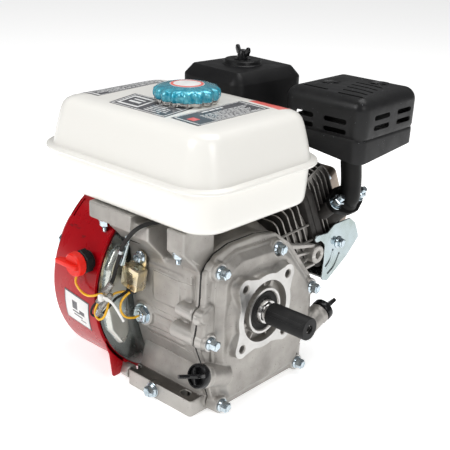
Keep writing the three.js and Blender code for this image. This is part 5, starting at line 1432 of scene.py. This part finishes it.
# ------------------------------------------------------------------ switch, leads and alert unit
STOP_LEAD = [(-47.6, 0, 190), (-42, 0, 190), (-12, -18, 194), (16, -44, 200), (17, -66, 202.6),
             (8, -88, 202.6), (1, -98.5, 198), (-13.1, -98, 184.1), (-24.4, -96, 169.5), (-28.7, -95, 160.3),
             (-35.1, -95, 144.1), (-37.7, -97, 131.6), (-39, -103, 120.5)]
KNOB_WIRE = [(-74, -112, 132), (-75.5, -114, 127), (-74, -116, 121), (-66.3, -117, 116), (-56, -118, 114.5),
             (-47, -117, 116), (-41, -110, 118), (-38, -105, 118)]
LOOP_WIRE = [(-27, -80, 117), (-31, -83, 115.5), (-34.4, -88, 115.6), (-37.6, -96, 114.6),
             (-37.4, -103, 110.1), (-34.9, -108, 101.4), (-37.8, -111, 92.2), (-44.6, -112, 89),
             (-49.2, -112, 95.3), (-44, -112, 108)]
LEVEL_WIRE = [(-24.8, -68.4, 87), (-24.8, -73, 87), (-25.2, -80, 86.3), (-28.6, -88, 88.6),
              (-31.7, -92, 95.8), (-31.6, -92, 105.2), (-29, -88, 112.5), (-27, -80, 117)]


def stop_switch(y):
    return (STOP_SWITCH_XZ[0], y, STOP_SWITCH_XZ[1])


def leads():
    piece("stop_lead", wire(STOP_LEAD, 2.2), RUBBER, slot="wire_cover", replaces=("wiring_loom",), angle=60)
    yellow = [wire(route, 1.25) for route in (KNOB_WIRE, LOOP_WIRE, LEVEL_WIRE)]
    piece("yellow_leads", yellow, YELLOW, angle=60)
    black = [(-44, -112, 108.5), (-50.9, -113, 101.9), (-54.4, -113, 92.6), (-50.9, -112, 90.1),
             (-47, -111.5, 92)]
    second = [(-30, -83, 117.5), (-33, -89, 113), (-35, -96, 110), (-36, -103, 104), (-40, -109, 96)]
    piece("black_leads", [wire(black, 1.2), wire(second, 1.4)], RUBBER, slot="wire_cover", angle=60)
    sleeves = [((-35.8, -100.5, 128.7), (-40.3, -106.5, 117.2), 3.7, 3.9, 24),
               ((-40.7, -107, 116.4), (-44.2, -112, 107.6), 3.9, 3.4, 24),
               ((-35.5, -102, 117.5), (-42.6, -111, 100.5), 3.6, 3.2, 24),
               ((-42.6, -111.4, 100.5), (-45, -112.6, 93), 2.8, 2.4, 20)]
    sleeves = [rod(start, end, r, end_r, 0.6, sides) for start, end, r, end_r, sides in sleeves]
    piece("lead_sleeves", sleeves, CLEAR, angle=40)
    terminals = [rod((-36.2, -101, 127.4), (-39.4, -105.5, 119.4), 2.0, 2.2, 0.3, 14),
                 rod((-41.4, -108, 114), (-43.6, -111.4, 108.6), 2.2, 1.9, 0.3, 14),
                 rod((-37.5, -104.5, 112.6), (-41.4, -109.6, 103.4), 2.0, 2.0, 0.3, 14)]
    piece("lead_terminals", terminals, STEEL, angle=40)
    loop = ring_solid([(5.0, -1.2), (6.0, -1.2), (6.2, 0), (6.0, 1.2), (5.0, 1.2)], 36)
    loop = loop.moved(aim((-39.5, -106.5, 113.5), (-0.35, -0.5, -0.78)))
    flat = np.array([(-0.5, -1.4), (0.5, -1.4), (0.5, 1.4), (-0.5, 1.4)])
    tail = sweep(smooth_path([(-38, -112.8, 116.4), (-30, -112.6, 117.2), (-22, -112, 115),
                              (-15.5, -111.5, 110), (-6.7, -110, 99)], 8), flat)
    lock = slab("y", box_outline(112, 119, -41, -35, 1, 3), -115, -111, 0.6)
    piece("cable_tie", [loop, tail, lock], NYLON, angle=40)


def alert_unit():
    tilt = Matrix.Translation((-22, 0, 153.5)) @ Matrix.Rotation(math.radians(10), 4, "Y")
    case = slab("y", box_outline(-34, -8, -12, 12, 3.5, 6), -86, -72, 1.6)
    ring = ring_solid([(6.2, -0.2), (7.4, -0.2), (7.2, 0.35), (6.4, 0.35)], 40)
    stamp = Matrix.Translation((0, -86.0, -21)) @ Matrix.Rotation(math.pi / 2, 4, "X")
    disc = rod((0, -85.4, -21), (0, -86.35, -21), 7, 6.6, 0.3, 40) + ring.moved(stamp)
    seam = slab("y", box_outline(-34.3, -7.7, -12.3, 12.3, 3.6, 6), -76.4, -75.6, 0.2)
    tab = slab("y", rounded([(-12, -6), (-12, 8), (-4, 8.6), (6, 6), (8, 0), (5, -6.5), (-4, -7.4)], 3.2, 5),
               -73.4, -71.6, 0.4)
    strap = slab("x", [(-84, -9), (-72, -7), (-72, -10), (-84, -12)], -6, 7, 0.4)
    piece("alert_unit_case", together([case, seam, tab, strap]).moved(tilt), GOLD,
          replaces=("oil_alert_unit",), angle=34)
    piece("alert_unit_stamp", disc.moved(tilt), GOLD, angle=40)
    nut = [flange_bolt((0, -73.6, 0.5), FORWARD, 10, 6, 0.4),
           rod((0, -79, 0.5), (0, -81.6, 0.5), 2.6, 2.2, 0.4, 20)]
    piece("alert_unit_nut", together(nut).moved(tilt), BOLT)
    boot = rod((-26.0, -79, 121.5), (-27.4, -79.6, 114.2), 5.2, 4.2, 1, 24)
    piece("alert_unit_boot", boot, RUBBER)
    clip = [slab("y", rounded([(182, -24), (182, -18), (148, -27), (146, -33), (150, -36)], 2, 3), -91.4,
                 -90, 0.3)]
    spring = sweep(smooth_path([(-19, -92.2, 176), (-25.5, -92.2, 158), (-30, -92.2, 148)], 12),
                   circle(1.3, segments=10))
    clamp = ring_solid([(2.3, -2.2), (3.2, -2.2), (3.2, 2.2), (2.3, 2.2)], 28)
    clamp = clamp.moved(aim((-26.6, -95.4, 165.4), (-0.45, 0.1, -0.88)))
    piece("lead_clip", [clamp, *clip, spring], ZINC, angle=30)
    grommet = slab("y", rounded([(170, -47), (181.5, -47), (180.5, -12), (172.5, -9.5)], 3.5, 5), -81.5, -66,
                   1.5)
    piece("lead_grommet", grommet, RUBBER)


def switch():
    body = hex_prism(24.5, 0, 8, 1.2).moved(aim(stop_switch(-108), FORWARD, math.pi / 6))
    body += rod(stop_switch(-104), stop_switch(-109), 11, 11, 0.5, 36)
    piece("switch_base", body, PLASTIC, replaces=("switch_body",), angle=30)
    knob = rod(stop_switch(-116.3), stop_switch(-126), 13, 12.4, 1.6, 64)
    bar = slab("z", rounded([(-90, -130), (-90, -123), (-78, -119), (-57, -119), (-57, -130)], 1.6, 4),
               143.4, 148.6, 0.9)
    piece("switch_knob_moulding", knob + bar, KNOB, body="switch_knob", replaces=("switch_knob",), angle=38)


# ------------------------------------------------------------------ oil caps
def oil_caps():
    for name, side, turn in (("oil_cap_front", -1, 22), ("oil_cap_rear", 1, -43)):
        lean = math.atan2(-side * math.cos(FILLER_TILT), math.sin(FILLER_TILT))
        place = (Matrix.Translation(filler(side, 0)) @ Matrix.Rotation(lean, 4, "X")
                 @ Matrix.Rotation(math.radians(turn), 4, "Z"))
        disc = revolve([(0, 0.5), (12.2, 0.5), (12.6, 1.2), (12.6, 6.8), (11.8, 8.2), (10.4, 8.2),
                        (10.0, 6.2), (0, 6.0)], 64)
        blade = slab("y", rounded([(4, -12), (12, -16.5), (17.5, -17), (19.6, -12), (18, 0), (19.6, 12),
                                   (17.5, 14), (4, 11)], 2, 4), -2, 2, 0.8)
        cross = slab("x", box_outline(-8.5, 8.5, 4, 11, 1, 3), -1.2, 1.2, 0.5)
        stem = revolve([(0, -14), (7.4, -14), (7.4, 1), (0, 1)], 40)
        threads = [ring_solid([(7.2, z), (7.9, z + 0.5), (7.9, z + 0.9), (7.2, z + 1.4)], 36)
                   for z in (-12.5, -10, -7.5, -5, -2.5)]
        stick = revolve([(0, -34), (2.4, -34), (2.6, -33), (2.6, -13), (0, -13)], 20)
        whole = together([disc, blade, cross, stem, *threads, stick]).moved(place)
        piece(f"{name}_moulding", whole, GLOSS_BLACK, body=name, replaces=(name,), angle=36)
        ring = ring_solid([(7.9, -0.4), (10.6, -0.4), (10.8, 0.1), (10.6, 0.5), (7.9, 0.5)], 40).moved(place)
        piece(f"{name}_washer", ring, GASKET, body=name, slot="rubber")


# ------------------------------------------------------------------ carburettor side
def carburettor():
    throat = rod((-97.5, THROAT_Y, THROAT_Z), (-58, THROAT_Y, THROAT_Z), 15, 15, 1, 48)
    flange = slab("x", rounded([(126, 158), (126, 176), (136, 182), (150, 182), (160, 176), (160, 158),
                                (150, 152), (136, 152)], 5, 4), -63, -58, 0.8)
    body = slab("z", box_outline(-92, -66, 132, 154, 5, 5), 140, 184, 1.4)
    bowl = revolve([(0, 112.4), (4.6, 112.4), (4.6, 117), (9, 118.2), (14.6, 119.6), (17.2, 122), (18, 126),
                    (18, 138.6), (19.4, 139.2), (19.4, 141.6), (0, 141.6)], 56).at(-78, THROAT_Y, 0)
    screws = [rod((x, y, 184), (x, y, 187.2), 2.6, 2.2, 0.4, 16) for x, y in ((-88, 136), (-70, 136))]
    valve = rod((FUEL_VALVE_X, 148, FUEL_VALVE_Z), (FUEL_VALVE_X, 163.6, FUEL_VALVE_Z), 8, 8, 0.8, 36)
    whole = together([throat, flange, body, bowl, valve])
    piece("carburettor_body", whole, CARB, replaces=("carburettor",), angle=32)
    piece("carburettor_screws", screws, BOLT)
    nut = hex_prism(10, 0, 5, 0.6).moved(aim((-78, THROAT_Y, 117), DOWN))
    piece("carburettor_bowl_nut", nut, BOLT)
    block = slab("x", rounded([(125, 152), (125, 182), (129, 184), (157, 184), (161, 182), (161, 152),
                               (157, 150), (129, 150)], 3, 4), -57.4, -47.6, 0.6)
    piece("insulator_moulding", block, PHENOLIC, replaces=("insulator_block",))
    lever = [rod((CHOKE_X, THROAT_Y, 184.5), (CHOKE_X, THROAT_Y, 188), 6, 6, 0.5, 32),
             slab("z", rounded([(-76.5, 143), (-71.5, 143), (-71, 177), (-77, 177)], 1.5, 3), 185.1, 187,
                  0.4), rod((CHOKE_X, 177, 185.2), (CHOKE_X, 177, 194), 4.4, 5, 0.8, 28)]
    piece("choke_lever_moulding", lever, GLOSS_BLACK, body="choke_lever", replaces=("choke_lever",), angle=36)
    fuel = [rod((FUEL_VALVE_X, 163.9, FUEL_VALVE_Z), (FUEL_VALVE_X, 168.4, FUEL_VALVE_Z), 8, 7.4, 0.6, 36),
            slab("y", rounded([(155.6, -110), (160.4, -110), (161.4, -84), (154.6, -84)], 1.5, 3), 164.6,
                 167.9, 0.5), rod((-110, 164.7, FUEL_VALVE_Z), (-110, 174, FUEL_VALVE_Z), 3.8, 4.5, 0.8, 28)]
    piece("fuel_lever_moulding", fuel, GLOSS_BLACK, body="fuel_valve_lever", replaces=("fuel_valve_lever",),
          angle=36)
    plate = [slab("z", rounded([(-75, 78), (-20, 78), (-20, 95), (-50, 95), (-50, 114), (-75, 114)], 3, 4),
                  204.7, 206.1, 0.3), slab("z", box_outline(-44, -28, 72, 82, 1.5, 3), 196.7, 198.1, 0.3),
             slab("y", box_outline(197, 205.6, -44, -28, 1, 2), 80.2, 81.8, 0.3)]
    piece("control_plate_sheet", plate, ZINC, replaces=("control_plate",))
    throttle = [rod((THROTTLE_X, THROTTLE_Y, 206.8), (THROTTLE_X, THROTTLE_Y, 210), 7, 7, 0.5, 36),
                slab("z", rounded([(-65.5, 104), (-58.5, 104), (-59, 150), (-65, 150)], 1.5, 3), 207.1,
                     208.7, 0.3), rod((THROTTLE_X, 150, 207.2), (THROTTLE_X, 150, 216), 5, 6, 1, 32)]
    piece("throttle_lever_moulding", throttle, GLOSS_BLACK, body="throttle_lever",
          replaces=("throttle_lever",), angle=36)


# Internals that keep their CAD shape get their own finishes.
CARRIED = [
    (STEEL, ["output_bearing", "flywheel_bearing", "intake_valve", "exhaust_valve", "intake_pushrod"]),
    (STEEL, ["exhaust_pushrod", "intake_rocker", "exhaust_rocker", "crankshaft_output_half"]),
    (STEEL, ["crankshaft_flywheel_half", "crank_pin", "wrist_pin", "starter_cup", "flywheel_nut"]),
    (IRON, ["cylinder_liner", "camshaft", "flywheel"]),
    (DARK_STEEL, ["cam_gear", "timing_gear"]),
    (FACED, ["piston", "connecting_rod", "rod_cap"]),
    (PLASTIC, ["cooling_fan"]),
]


def carried_over():
    for finish, names in CARRIED:
        for name in names:
            materials = bpy.data.objects[name].data.materials
            materials.clear()
            materials.append(finish)


fuel_tank()
fuel_cap()
air_cleaner()
wing_nut()
muffler_guard()
muffler()
side_cover()
cover_details()
gasket_line()
cover_bolts_and_seal()
shaft_end()
bolt_bosses()
shroud_bracket()
crankcase()
barrel_fins()
crankcase_fittings()
cylinder_head()
exhaust()
blower_housing()
drum_label()
starter_bolts()
starter()
starter_reel()
starter_grip()
starter_rope()
shrouds()
leads()
alert_unit()
switch()
oil_caps()
carburettor()
carried_over()
